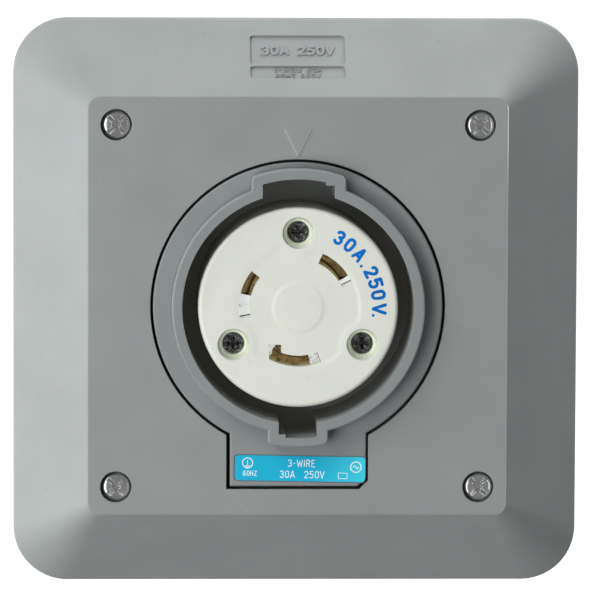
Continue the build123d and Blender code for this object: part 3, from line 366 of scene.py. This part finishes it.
def label_sheet():
    """Blue film that fades towards its right-hand end."""
    material, tree, shader = blank("label_film")
    where = coordinates(tree)
    across = remap(tree, separate(tree, where)["X"], -14 * MM, 17 * MM, 0.0, 1.0)
    base = ramp(tree, across, (0.0, (0.010, 0.40, 0.60)), (0.55, (0.004, 0.42, 0.66)),
                (0.97, (0.045, 0.60, 0.75)))
    cloud = noise(tree, where, 230, detail=5)
    base = blend_towards(tree, remap(tree, cloud, 0.45, 0.7, 0.0, 0.16), base, (0.002, 0.33, 0.55))
    tree.links.new(base, shader.inputs["Base Color"])
    tree.links.new(remap(tree, cloud, 0.3, 0.7, 0.28, 0.38), shader.inputs["Roughness"])
    bump(tree, shader, noise(tree, where, 900, detail=3), 0.004 * MM, 1.0)
    return material


PAINTED_HIGHLIGHT_LEVELS = (62.9, 63.2)      # the brass is painted bright in front of these levels, a painted highlight
SLOT_LIGHT_LEVELS = (54.0, 61.5)   # light in the slots grows between these levels
SLOT_LIGHT = 0.50


def brass_with_painted_highlight():
    """Brass contacts: golden and mottled, with the tabs nearest the face painted bright as a painted highlight."""
    material, tree, shader = blank("brass_with_painted_highlight")
    where = coordinates(tree)
    across_wall = separate(tree, where)["Y"]
    stain = noise(tree, where, 520, detail=6, distortion=0.8)
    base = ramp(tree, stain, (0.36, (0.085, 0.060, 0.028)), (0.64, (0.36, 0.27, 0.105)))
    # painted highlight: parts in front of these levels get a bright, near-white colour
    front_highlight = remap(tree, across_wall, -PAINTED_HIGHLIGHT_LEVELS[0] * MM, -PAINTED_HIGHLIGHT_LEVELS[1] * MM, 0.0, 1.0)
    bright = ramp(tree, stain, (0.36, (0.50, 0.50, 0.49)), (0.46, (0.88, 0.90, 0.90)))
    base = blend(tree, front_highlight, base, bright)
    tree.links.new(base, shader.inputs["Base Color"])
    shader.inputs["Metallic"].default_value = 0.85
    tree.links.new(remap(tree, stain, 0.3, 0.7, 0.22, 0.40), shader.inputs["Roughness"])
    # light that reaches the slots through the nylon round them
    tree.links.new(base, shader.inputs["Emission Color"])
    inside = remap(tree, across_wall, -SLOT_LIGHT_LEVELS[0] * MM, -SLOT_LIGHT_LEVELS[1] * MM, 0.0, SLOT_LIGHT)
    tree.links.new(inside, shader.inputs["Emission Strength"])
    lower = bump(tree, shader, noise(tree, where, 1100, detail=4), 0.03 * MM, 1.0)
    bump(tree, shader, stain, 0.12 * MM, 0.6, under=lower)
    return material


dark_steel = blackened_steel()
label_film = label_sheet()
contact_metal = brass_with_painted_highlight()
nylon = nylon_face()

SLOT_MATERIALS = {
    "box_grey": box_plastic,
    "cover_grey": cover_plastic,
    "shroud_grey": shroud_plastic,
    "seal_black": seal_rubber,
    "label_blue": label_film,
    "face_white": nylon,
    "base_black": base_plastic,
    "brass": brass,
    "nickel": nickel,
    "green_screw": green_steel,
    "spring_steel": spring_steel,
    "zinc_steel": zinc,
    "dark_screw": dark_steel,
    "screw_steel": screw_steel,
    "retainer_nylon": retainer_nylon,
}
for subpart in frame["record"]["subparts"]:
    paint(subpart["node"], SLOT_MATERIALS[subpart["material_slot"]])
for name in ("left", "right", "ground"):
    paint(f"contact_{name}", contact_metal)


# ---------------------------------------------------------------- mesh helpers
SHARP = math.radians(32)           # edges that turn further than this are shaded sharp


def placed(x, z, distance):
    """A point from millimetres: across, up, and the distance from the wall."""
    return Vector((x * MM, -distance * MM, z * MM))


def object_from(shape, name):
    """Turn a bmesh into an object in the scene."""
    mesh = bpy.data.meshes.new(name)
    shape.to_mesh(mesh)
    shape.free()
    made = bpy.data.objects.new(name, mesh)
    scene.collection.objects.link(made)
    return made


def smooth(mesh):
    """Smooth shading, with the sharp edges left sharp."""
    mesh.polygons.foreach_set("use_smooth", [True] * len(mesh.polygons))
    mesh.set_sharp_from_angle(angle=SHARP)


def piece_from(shape, name, material, body):
    """Finish a bmesh as a piece of the object that rides on a body."""
    piece = object_from(shape, name)
    piece.data.materials.append(material)
    smooth(piece.data)
    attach(piece, body)
    return piece


def combine(target, shape, operation):
    """Apply a boolean between the target's own mesh and a bmesh, which is used up."""
    outward(shape)
    helper = object_from(shape, "helper")
    modifier = target.modifiers.new("cut", "BOOLEAN")
    modifier.operation = operation
    modifier.solver = "EXACT"
    modifier.object = helper
    bpy.context.view_layer.update()
    result = bpy.data.meshes.new_from_object(target.evaluated_get(bpy.context.evaluated_depsgraph_get()))
    target.modifiers.clear()
    target.data = result
    bpy.data.objects.remove(helper)


def join_rings(shape, rings, segments):
    """Faces between each ring of points and the next; a ring of one point makes a fan."""
    for lower, upper in zip(rings, rings[1:]):
        for step in range(segments):
            following = (step + 1) % segments
            corners = []
            for corner in (lower[step % len(lower)], lower[following % len(lower)],
                           upper[following % len(upper)], upper[step % len(upper)]):
                if corner not in corners:
                    corners.append(corner)
            if len(corners) > 2:
                shape.faces.new(corners)


def round_ring(shape, radius, distance, segments, centre=(0.0, 0.0), start=0.0):
    """A circle of points at one level, or a single point if it has no radius."""
    if radius == 0:
        return [shape.verts.new(placed(centre[0], centre[1], distance))]
    ring = []
    for step in range(segments):
        angle = start + 2 * math.pi * step / segments
        ring.append(shape.verts.new(placed(centre[0] + radius * math.cos(angle),
                                           centre[1] + radius * math.sin(angle), distance)))
    return ring


def add_revolved(shape, profile, centre=(0.0, 0.0), segments=48, start=0.0):
    """Turn (radius, distance) points about an axis that points at the viewer."""
    rings = [round_ring(shape, radius, distance, segments, centre, start) for radius, distance in profile]
    join_rings(shape, rings, segments)


def add_block(shape, rear, fore):
    """A closed block between two outlines of points."""
    shape.faces.new(rear)
    shape.faces.new(fore)
    join_rings(shape, [rear, fore], len(rear))


def add_prism(shape, outline, back, front):
    """A closed block between two distances from the wall, from a list of (x, z) corners."""
    rear = [shape.verts.new(placed(x, z, back)) for x, z in outline]
    fore = [shape.verts.new(placed(x, z, front)) for x, z in outline]
    add_block(shape, rear, fore)


def arc(radius, angles):
    return [(radius * math.cos(angle), radius * math.sin(angle)) for angle in angles]


def outward(shape):
    bmesh.ops.recalc_face_normals(shape, faces=shape.faces)


def smoothstep(value, low, high):
    part = min(max((value - low) / (high - low), 0.0), 1.0)
    return part * part * (3 - 2 * part)


# ---------------------------------------------------------------- white receptacle face
FACE_RADIUS = 24.45
FACE_WALL_RADIUS = 22.25
FACE_FLANGE_FRONT = 42.0
PLATE_BACK = 64.9
EDGE_ROUND = 1.0
FRONT_SPARE = 0.05                 # the front's highest level stays this far inside the CAD node
DISH_DEPTH = 0.17
DISH_INNER = (5.5, 6.7)            # the dish begins between these radii
DISH_OUTER = 15.0
FACE_RINGS = ((1.5, 0.16, 0.022), (2.6, 0.16, 0.022), (5.1, 0.35, 0.03))   # radius, width, depth
SCREW_SPOTS = arc(18.2, [math.radians(angle) for angle in (90, 210, 330)])
SPOT_LANDS = (4.6, 6.4)            # the dish stops between these distances from a screw
BOSS_BACK = 61.9
BOSS_RADIUS = 4.19
SCREW_RECESS = ((0, FACE_FRONT + 1.0), (4.4, FACE_FRONT + 1.0), (4.02, FACE_FRONT + 0.05),
                (3.86, FACE_FRONT - 0.14), (3.79, FACE_FRONT - 0.35), (3.22, 65.25), (3.12, 65.2),
                (2.75, 65.2), (2.75, 63.4), (1.65, 63.4), (1.65, 60.0), (0, 60.0))
SLOT_ANGLES = {"right": (25.8, 65.8), "left": (142.0, 190.4), "ground": (239.0, 293.0)}
SLOT_INNER = 11.8
SLOT_OUTER = 14.5
SLOT_STEP = 1.5                    # degrees between the points of a slot's outline
HOOK_EDGE = -4.1                   # the ground slot's hook lies left of this
HOOK_CORNERS = [(HOOK_EDGE, -11.07), (HOOK_EDGE, -9.1), (-7.1, -9.1), (-7.1, -12.64)]
FACE_TURNS = 216
FACE_RADII = [0.35 * step for step in range(1, 66)] + [23.0, 23.3, 23.6, 23.85, 24.05, 24.2, 24.32, 24.4, 24.44]


def face_depth(x, z):
    """How far the moulded front lies behind its highest level, in millimetres."""
    radius = math.hypot(x, z)
    # the dish's outer step is crisp on the right and soft on the left
    blur = 0.45 + 0.95 * smoothstep(-x / max(radius, 0.01), -0.7, 0.1)
    dish = smoothstep(radius, *DISH_INNER) * (1 - smoothstep(radius, DISH_OUTER - blur, DISH_OUTER + blur))
    for spot_x, spot_z in SCREW_SPOTS:
        dish *= smoothstep(math.hypot(x - spot_x, z - spot_z), *SPOT_LANDS)
    depth = FRONT_SPARE + DISH_DEPTH * dish
    for ring, width, amount in FACE_RINGS:
        depth += amount * math.exp(-((radius - ring) / width) ** 2)
    past = radius - (FACE_RADIUS - EDGE_ROUND)
    if past > 0:
        depth += EDGE_ROUND * (1 - math.sqrt(max(0.0, 1 - (past / EDGE_ROUND) ** 2)))
    return depth


def receptacle_front():
    """The face moulding: a skirted disc with a soft dish, deep screw recesses and three blade slots."""
    shape = bmesh.new()
    rings = [[shape.verts.new(placed(0, 0, FACE_FRONT - face_depth(0, 0)))]]
    for radius in FACE_RADII:
        ring = []
        for x, z in arc(radius, [2 * math.pi * step / FACE_TURNS for step in range(FACE_TURNS)]):
            ring.append(shape.verts.new(placed(x, z, FACE_FRONT - face_depth(x, z))))
        rings.append(ring)
    skirt = ((FACE_RADIUS, FACE_FRONT - EDGE_ROUND - 0.1), (FACE_RADIUS, FACE_FLANGE_FRONT),
             (FACE_FLANGE_RADIUS, FACE_FLANGE_FRONT), (FACE_FLANGE_RADIUS, FACE_FLANGE_BACK),
             (FACE_WALL_RADIUS, FACE_FLANGE_BACK), (FACE_WALL_RADIUS, PLATE_BACK), (0, PLATE_BACK))
    rings += [round_ring(shape, radius, distance, FACE_TURNS) for radius, distance in skirt]
    join_rings(shape, rings, FACE_TURNS)
    outward(shape)
    face = piece_from(shape, "face_moulding", nylon, "cover_assembly")

    bosses = bmesh.new()
    boss = ((0, BOSS_BACK), (BOSS_RADIUS, BOSS_BACK), (BOSS_RADIUS, PLATE_BACK + 1.0), (0, PLATE_BACK + 1.0))
    for spot in SCREW_SPOTS:
        add_revolved(bosses, boss, spot)
    combine(face, bosses, "UNION")

    cutters = bmesh.new()
    for spot in SCREW_SPOTS:
        add_revolved(cutters, SCREW_RECESS, spot, segments=72)
    for slot, (start, end) in SLOT_ANGLES.items():
        steps = int((end - start) / SLOT_STEP)
        angles = [math.radians(start + (end - start) * step / steps) for step in range(steps + 1)]
        inner = arc(SLOT_INNER, reversed(angles))
        if slot == "ground":
            inner = [point for point in inner if point[0] > HOOK_EDGE] + HOOK_CORNERS
        add_prism(cutters, arc(SLOT_OUTER, angles) + inner, PLATE_BACK - 1.0, FACE_FRONT + 1.0)
    combine(face, cutters, "DIFFERENCE")
    smooth(face.data)
    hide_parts("receptacle_face")


receptacle_front()

# ---------------------------------------------------------------- contact tongues
TONGUE = ((14.1, 61.9), (13.7, 61.2), (13.1, 59.8), (12.6, 57.8), (12.35, 55.0))   # radius, level
TONGUE_THICKNESS = 0.25
TONGUE_STEPS = 28
HOOK_CAP = [(-7.3, -8.9), (-5.0, -8.9), (-5.3, -9.8), (-6.1, -10.7), (-6.4, -12.2), (-7.3, -12.2)]
HOOK_CAP_LEVELS = (62.9, 63.4)
HOOK_STEM = [(-7.3, -8.9), (-6.9, -8.9), (-6.9, -12.2), (-7.3, -12.2)]
HOOK_STEM_LEVELS = (60.0, 62.95)


def contact_tongue(slot, start, end):
    """Sprung strip that slants across the space between a contact's two leaves."""
    shape = bmesh.new()
    outline = list(TONGUE)
    outline += [(radius - 0.05, distance - TONGUE_THICKNESS) for radius, distance in reversed(TONGUE)]
    rings = []
    for step in range(TONGUE_STEPS + 1):
        angle = math.radians(start + (end - start) * step / TONGUE_STEPS)
        rings.append([shape.verts.new(placed(radius * math.cos(angle), radius * math.sin(angle), distance))
                      for radius, distance in outline])
    join_rings(shape, rings, len(outline))
    shape.faces.new(rings[0])
    shape.faces.new(rings[-1])
    outward(shape)
    piece_from(shape, f"contact_tongue_{slot}", contact_metal, "cover_assembly")


def hook_tab():
    """Bent end of the ground contact, seen in the hook of its slot."""
    shape = bmesh.new()
    add_prism(shape, HOOK_CAP, *HOOK_CAP_LEVELS)
    add_prism(shape, HOOK_STEM, *HOOK_STEM_LEVELS)
    outward(shape)
    piece_from(shape, "contact_hook_tab", contact_metal, "cover_assembly")


hook_tab()
contact_tongue("right", 31.2, 65.6)
contact_tongue("left", 142.4, 167.8)
contact_tongue("ground", 239.4, 282.3)

# ---------------------------------------------------------------- cover screws
HEAD_RADIUS = 3.43
HEAD_HEIGHT = 2.2
DOME_DROP = 1.38
DOME_POWER = 0.6                   # below 1, the dome is flat on top and steep at its rim
DOME_STEPS = 30
NECK_RADIUS = 1.7
WAIST_RADIUS = 1.38                # the retainer sits round the waist
WAIST_SPARE = 0.1
THREAD_TOP_RADIUS = 1.55
THREAD_ROOT = 1.30
THREAD_DEPTH = 0.38
THREAD_PITCH = 0.794
THREAD_ROW = 0.12                  # the thread's mesh has a ring of points this often
TIP_TAPER = 0.7
SCREW_SEGMENTS = 48
CROSS_TURNS = (45, 135)
CROSS_WING = ((-1.95, 1.0, 0.27), (-1.2, 2.05, 0.40), (0.3, 3.3, 0.62))   # level past the front, reach, half width
CROSS_PIT = ((0, -2.05), (0.62, -1.75), (1.02, -0.5), (1.16, 0.3), (0, 0.3))   # radius, level past the front


def thread_ring(shape, centre, distance, thread_top, tip):
    """One ring of the thread, whose radius follows the helix and tapers at the tip."""
    near_tip = min(1.0, (distance - tip) / TIP_TAPER)
    ring = []
    for step in range(SCREW_SEGMENTS):
        turn = (thread_top - distance) / THREAD_PITCH + step / SCREW_SEGMENTS
        wave = abs(2 * (turn % 1.0) - 1)
        radius = (THREAD_ROOT + THREAD_DEPTH * wave) * (0.72 + 0.28 * near_tip)
        angle = 2 * math.pi * step / SCREW_SEGMENTS
        ring.append(shape.verts.new(placed(centre[0] + radius * math.cos(angle),
                                           centre[1] + radius * math.sin(angle), distance)))
    return ring


def cross_wing(centre, front, turn):
    """A tapered bar that cuts one line of the cross."""
    along = (math.cos(math.radians(turn)), math.sin(math.radians(turn)))
    across = (-along[1], along[0])
    wing = bmesh.new()
    rings = []
    for past, reach, half in CROSS_WING:
        rings.append([wing.verts.new(placed(
            centre[0] + side * reach * along[0] + edge * half * across[0],
            centre[1] + side * reach * along[1] + edge * half * across[1], front + past))
            for side, edge in ((-1, -1), (1, -1), (1, 1), (-1, 1))])
    wing.faces.new(rings[0])
    wing.faces.new(rings[-1])
    join_rings(wing, rings, 4)
    return wing


def cover_screw(corner):
    """Pan-head machine screw with a cross recess, a waist for its retainer and a cut thread."""
    low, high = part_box(f"cover_screw_{corner}")
    centre = ((low.x + high.x) / 2 / MM, (low.z + high.z) / 2 / MM)
    front = -low.y / MM
    tip = -high.y / MM
    retainer_low, retainer_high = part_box(f"screw_retainer_{corner}")
    waist_front = -retainer_low.y / MM + WAIST_SPARE
    waist_back = -retainer_high.y / MM - WAIST_SPARE
    seat = front - HEAD_HEIGHT
    thread_top = waist_back - 0.1
    profile = [(0, front)]
    for step in range(1, DOME_STEPS + 1):
        quarter = step / DOME_STEPS * math.pi / 2
        drop = DOME_DROP * (1 - max(0.0, math.cos(quarter)) ** DOME_POWER)
        profile.append((HEAD_RADIUS * math.sin(quarter), front - drop))
    profile += [(HEAD_RADIUS, seat + 0.12), (HEAD_RADIUS - 0.12, seat), (NECK_RADIUS, seat),
                (NECK_RADIUS - 0.02, waist_front + 0.1), (WAIST_RADIUS, waist_front),
                (WAIST_RADIUS, waist_back), (THREAD_TOP_RADIUS, thread_top)]
    shape = bmesh.new()
    add_revolved(shape, profile, centre, segments=SCREW_SEGMENTS)
    rows = int((thread_top - tip) / THREAD_ROW)
    rings = [list(shape.verts)[-SCREW_SEGMENTS:]]
    for row in range(1, rows + 1):
        distance = thread_top - (thread_top - tip) * row / rows
        rings.append(thread_ring(shape, centre, distance, thread_top, tip))
    join_rings(shape, rings, SCREW_SEGMENTS)
    shape.faces.new(rings[-1])
    outward(shape)
    screw = piece_from(shape, f"pan_head_screw_{corner}", screw_steel, f"screw_{corner}")

    for turn in CROSS_TURNS:
        combine(screw, cross_wing(centre, front, turn), "DIFFERENCE")
    pit = bmesh.new()
    add_revolved(pit, [(radius, front + past) for radius, past in CROSS_PIT], centre, segments=24, start=0.1)
    combine(screw, pit, "DIFFERENCE")
    smooth(screw.data)
    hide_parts(f"cover_screw_{corner}")


for name in CORNERS:
    cover_screw(name)

# ---------------------------------------------------------------- lettering
# Each glyph is (width, strokes); a stroke is a list of points in a box one unit high.
GLYPHS = {
    "0": (0.64, [[(0.32, 1), (0.16, 0.95), (0.06, 0.8), (0.04, 0.5), (0.06, 0.2), (0.16, 0.05), (0.32, 0), (0.48, 0.05),
                  (0.58, 0.2), (0.6, 0.5), (0.58, 0.8), (0.48, 0.95), (0.32, 1)]]),
    "2": (0.62, [[(0.05, 0.78), (0.12, 0.94), (0.3, 1), (0.48, 0.95), (0.57, 0.78), (0.52, 0.58), (0.04, 0.02),
                  (0.6, 0.02)]]),
    "3": (0.62, [[(0.05, 0.86), (0.16, 0.97), (0.32, 1), (0.48, 0.95), (0.56, 0.78), (0.5, 0.6), (0.3, 0.53),
                  (0.5, 0.47), (0.59, 0.28), (0.5, 0.06), (0.3, 0), (0.14, 0.03), (0.03, 0.15)]]),
    "5": (0.62, [[(0.56, 1), (0.1, 1), (0.07, 0.54), (0.2, 0.62), (0.38, 0.62), (0.54, 0.5), (0.59, 0.3), (0.5, 0.08),
                  (0.3, 0), (0.14, 0.02), (0.03, 0.14)]]),
    "6": (0.62, [[(0.54, 0.9), (0.4, 1), (0.22, 0.96), (0.08, 0.7), (0.04, 0.35), (0.12, 0.08), (0.32, 0),
                  (0.5, 0.06), (0.58, 0.28), (0.5, 0.5), (0.3, 0.56), (0.1, 0.44)]]),
    "A": (0.66, [[(0.0, 0), (0.31, 1), (0.35, 1), (0.66, 0)], [(0.13, 0.32), (0.53, 0.32)]]),
    "E": (0.54, [[(0.54, 1), (0.06, 1), (0.06, 0), (0.54, 0)], [(0.06, 0.52), (0.46, 0.52)]]),
    "H": (0.62, [[(0.06, 0), (0.06, 1)], [(0.56, 0), (0.56, 1)], [(0.06, 0.5), (0.56, 0.5)]]),
    "I": (0.16, [[(0.08, 0), (0.08, 1)]]),
    "R": (0.62, [[(0.06, 0), (0.06, 1), (0.4, 1), (0.55, 0.9), (0.56, 0.66), (0.42, 0.5), (0.06, 0.5)],
                 [(0.34, 0.5), (0.6, 0)]]),
    "V": (0.62, [[(0.0, 1), (0.3, 0), (0.34, 0), (0.64, 1)]]),
    "W": (0.86, [[(0.0, 1), (0.2, 0), (0.43, 0.8), (0.66, 0), (0.86, 1)]]),
    "Z": (0.58, [[(0.04, 1), (0.56, 1), (0.03, 0), (0.58, 0)]]),
    "-": (0.4, [[(0.04, 0.5), (0.36, 0.5)]]),
    ".": (0.12, [[(0.06, 0.03), (0.061, 0.03)]]),
    " ": (0.45, []),
}


STROKE_STEP = 0.0012               # each run of a stroke is this much higher than the last
GLYPH_STEP = 0.0205                # and each further stroke of a glyph this much more
CAP_STEPS = 8                      # faces round each end of a run


def add_stroke(shape, points, half, put, lift):
    """One pen stroke: a flat capsule along every run, laid out by put(x, y, height).

    Each run is a hair higher than the one before, so that overlapping runs never share a plane.
    """
    for (x0, y0), (x1, y1) in zip(points, points[1:]):
        lift += STROKE_STEP
        run = math.hypot(x1 - x0, y1 - y0)
        heading = math.atan2(y1 - y0, x1 - x0) if run > 1e-6 else 0.0
        rim = []
        for end_x, end_y, turn in ((x1, y1, -0.5), (x0, y0, 0.5)):
            for step in range(CAP_STEPS + 1):
                angle = heading + (turn + step / CAP_STEPS) * math.pi
                rim.append((end_x + half * math.cos(angle), end_y + half * math.sin(angle)))
        rear = [shape.verts.new(put(x, y, -lift)) for x, y in rim]
        fore = [shape.verts.new(put(x, y, lift)) for x, y in rim]
        add_block(shape, rear, fore)


def add_text(shape, text, height, half, put, lift, squeeze=1.0, gap=0.16):
    """A line of glyphs centred on x = 0, with its feet on y = 0."""
    widths = [GLYPHS[letter][0] * squeeze for letter in text]
    total = sum(widths) + gap * (len(text) - 1)
    left = -total / 2
    for letter, width in zip(text, widths):
        for order, stroke in enumerate(GLYPHS[letter][1]):
            points = [((left + x * squeeze) * height, y * height) for x, y in stroke]
            add_stroke(shape, points, half, put, lift + order * GLYPH_STEP)
        left += width + gap


FACE_PRINT = (("3", 59.6), ("0", 50.7), ("A", 41.0), (".", 33.6), ("2", 26.1), ("5", 17.6), ("0", 9.1),
              ("V", -0.8), (".", -5.9))                   # letter, angle in degrees
FACE_PRINT_HEIGHT = 2.95
FACE_PRINT_FOOT = 18.33            # the radius that the letters stand on
FACE_PRINT_HALF = 0.38             # half the width of a stroke
FACE_PRINT_LIFT = 0.025


def face_print():
    """The rating printed in blue along the rim of the white face."""
    shape = bmesh.new()
    height, foot = FACE_PRINT_HEIGHT, FACE_PRINT_FOOT
    for letter, degrees in FACE_PRINT:
        middle = math.radians(degrees)
        half_width = GLYPHS[letter][0] / 2

        def put(x, y, rise):
            radius = foot + y
            angle = middle - (x - half_width * height) / (foot + height / 2)
            across, up = radius * math.cos(angle), radius * math.sin(angle)
            return placed(across, up, FACE_FRONT - face_depth(across, up) + rise)

        for order, stroke in enumerate(GLYPHS[letter][1]):
            points = [(x * height, y * height) for x, y in stroke]
            add_stroke(shape, points, FACE_PRINT_HALF, put, FACE_PRINT_LIFT + order * GLYPH_STEP)
    outward(shape)
    piece_from(shape, "face_rating_print", blue_ink, "cover_assembly")


LABEL_TURN = math.radians(-1.0)
LABEL_CENTRE = (0.7, -39.9)
LABEL_LIFT = 0.02
LABEL_TEXT = (("30A  250V", 0.5, -2.25, 1.65, 0.09), ("3-WIRE", 0.3, 0.5, 1.65, 0.09),
              ("60HZ", -12.3, -1.9, 1.15, 0.075))         # text, x, y, height, half stroke


def on_label(x, y, rise):
    """A point in the label's own axes, on its printed surface."""
    across = LABEL_CENTRE[0] + x * math.cos(LABEL_TURN) - y * math.sin(LABEL_TURN)
    up = LABEL_CENTRE[1] + x * math.sin(LABEL_TURN) + y * math.cos(LABEL_TURN)
    return placed(across, up, LABEL_FRONT + rise)


def ring_points(x, y, radius, count=20):
    angles = [2 * math.pi * step / count for step in range(count + 1)]
    return [(x + radius * math.cos(angle), y + radius * math.sin(angle)) for angle in angles]


def label_print():
    """White print on the label: the rating, the wire count and plain marks at its ends."""
    shape = bmesh.new()
    for text, x, y, height, half in LABEL_TEXT:
        def put(across, up, rise, x=x, y=y):
            return on_label(x + across, y + up, rise)
        add_text(shape, text, height, half, put, LABEL_LIFT, squeeze=0.9, gap=0.22)
    # each mark: half stroke, then its points
    earth_ring = (0.1, ring_points(-12.9, 1.2, 1.25))
    earth_stem = (0.08, [(-12.9, 0.55), (-12.9, 1.85)])
    earth_bar = (0.08, [(-13.5, 0.55), (-12.3, 0.55)])
    earth_foot = (0.08, [(-13.25, 0.25), (-12.55, 0.25)])
    wave_ring = (0.12, ring_points(13.7, 0.6, 1.3))
    wave = (0.1, [(13.05, 0.6), (13.4, 1.0), (14.0, 0.2), (14.35, 0.6)])
    frame_mark = (0.07, [(9.4, -0.9), (11.6, -0.9), (11.6, -2.3), (9.4, -2.3), (9.4, -0.9)])
    for half, points in (earth_ring, earth_stem, earth_bar, earth_foot, wave_ring, wave, frame_mark):
        add_stroke(shape, points, half, on_label, LABEL_LIFT)
    outward(shape)
    piece_from(shape, "label_print", label_ink, "cover_assembly")


PANEL_HALF = 51.3
BEVEL_RUN = 18.55
BEVEL_RISE = 17.5
BEVEL_SLOPE = math.hypot(BEVEL_RUN, BEVEL_RISE)
PLAQUE_DEPTH = 0.5
# text, place up the bevel, height, half stroke, lift, squeeze, gap
PLAQUE_TEXT = (("30A 250V", 0.594, 2.3, 0.32, 0.34, 1.2, 0.26),
               ("3-WIRE 30A", 0.350, 1.15, 0.09, 0.25, 1.25, 0.35),
               ("60HZ 250V", 0.276, 1.15, 0.09, 0.25, 1.25, 0.35))


def on_bevel(x, y, rise):
    """A point on the floor of the plaque in the top bevel; y runs up the slope from the panel's edge."""
    along = y / BEVEL_SLOPE
    distance = PANEL_FRONT - BEVEL_RISE * along + (rise - PLAQUE_DEPTH) * BEVEL_RUN / BEVEL_SLOPE
    up = PANEL_HALF + BEVEL_RUN * along + (rise - PLAQUE_DEPTH) * BEVEL_RISE / BEVEL_SLOPE
    return placed(x, up, distance)


def plaque_print():
    """Raised lettering moulded in the two recesses of the top bevel."""
    shape = bmesh.new()
    for text, y, height, half, lift, squeeze, gap in PLAQUE_TEXT:
        def put(across, up, rise, y=y, height=height):
            return on_bevel(across, y * BEVEL_SLOPE - height / 2 + up, rise)
        add_text(shape, text, height, half, put, lift, squeeze=squeeze, gap=gap)
    outward(shape)
    piece_from(shape, "plaque_lettering", cover_plastic, "cover_assembly")


face_print()
label_print()
plaque_print()

# ---------------------------------------------------------------- camera
CAMERA_AZIMUTH = math.radians(-2.0)
CAMERA_ELEVATION = math.radians(5.3)
CAMERA_DISTANCE = 1.3
CAMERA_ROLL = math.radians(0.24)
VIEW_WIDTH = 146.7 * MM            # what the picture spans at the panel
AIM = Vector((0.51 * MM, -PANEL_FRONT * MM, 1.64 * MM))

towards_camera = Vector((
    math.sin(CAMERA_AZIMUTH) * math.cos(CAMERA_ELEVATION),
    -math.cos(CAMERA_AZIMUTH) * math.cos(CAMERA_ELEVATION),
    math.sin(CAMERA_ELEVATION),
))
camera_data = bpy.data.cameras.new("camera")
camera = bpy.data.objects.new("camera", camera_data)
scene.collection.objects.link(camera)
camera.location = AIM + CAMERA_DISTANCE * towards_camera
facing = (-towards_camera).to_track_quat("-Z", "Y")
camera.rotation_euler = (facing.to_matrix() @ Matrix.Rotation(CAMERA_ROLL, 3, "Z")).to_euler()
camera_data.sensor_width = 36.0
camera_data.lens = camera_data.sensor_width * CAMERA_DISTANCE / VIEW_WIDTH
camera_data.clip_start = 0.05
camera_data.clip_end = 500.0
scene.camera = camera

# ---------------------------------------------------------------- light and floor
SKY_IN_FRONT = 0.223               # the studio is darker on the camera's side
SKY_BEHIND = 0.60

scene.view_settings.view_transform = "Standard"
world = bpy.data.worlds.new("studio")
world.use_nodes = True
sky = world.node_tree
background = sky.nodes["Background"]
background.inputs["Color"].default_value = (1.0, 1.0, 1.0, 1.0)
heading = separate(sky, sky.nodes.new("ShaderNodeTexCoord").outputs["Generated"])["Y"]
glow = remap(sky, heading, -0.1, 0.1, SKY_IN_FRONT, SKY_BEHIND)
sky.links.new(glow, background.inputs["Strength"])
scene.world = world


def softbox(name, place, size, power, diffuse=True, glossy=True, tall=1.0):
    """An area light aimed at the panel's centre, `tall` times as high as it is wide."""
    data = bpy.data.lights.new(name, "AREA")
    data.shape = "RECTANGLE"
    data.size = size
    data.size_y = size * tall
    data.energy = power
    lamp = bpy.data.objects.new(name, data)
    scene.collection.objects.link(lamp)
    lamp.location = place
    lamp.rotation_euler = (AIM - Vector(place)).to_track_quat("-Z", "Y").to_euler()
    lamp.visible_diffuse = diffuse
    lamp.visible_glossy = glossy
    return lamp


softbox("upper_left", (-0.82, -0.76, 0.90), 0.9, 13.8, glossy=False)
softbox("front_left", (-0.51, -0.79, -0.20), 0.6, 6.1, glossy=False)
softbox("far_left", (-0.87, 0.17, -0.08), 0.6, 4.8)
softbox("top", (0.39, 0.16, 0.78), 0.6, 9.6, glossy=False)
softbox("low_right", (0.60, 0.28, -0.58), 0.6, 0.25)
softbox("glint_left", (-1.05, -0.80, 0.0), 1.0, 10.0, diffuse=False, tall=1.7)
softbox("glint_right", (1.1, -0.75, 0.05), 0.42, 3.8, diffuse=False, tall=2.6)

FLOOR_DROP = 0.9
FLOOR_RADIUS = 120.0
FLOOR_TONE = 0.9
FLOOR_GLOW = 0.8

floor_mesh = bpy.data.meshes.new("floor")
floor_shape = bmesh.new()
bmesh.ops.create_circle(floor_shape, cap_ends=True, segments=64, radius=FLOOR_RADIUS)
floor_shape.to_mesh(floor_mesh)
floor_shape.free()
floor = bpy.data.objects.new("floor", floor_mesh)
scene.collection.objects.link(floor)
floor.location.z = -FLOOR_DROP
floor_material, _, floor_shader = blank("floor")
floor_shader.inputs["Base Color"].default_value = (FLOOR_TONE, FLOOR_TONE, FLOOR_TONE, 1.0)
floor_shader.inputs["Roughness"].default_value = 0.9
floor_shader.inputs["Emission Color"].default_value = (1.0, 1.0, 1.0, 1.0)
floor_shader.inputs["Emission Strength"].default_value = FLOOR_GLOW
floor_mesh.materials.append(floor_material)
floor.visible_diffuse = False
floor.visible_glossy = False
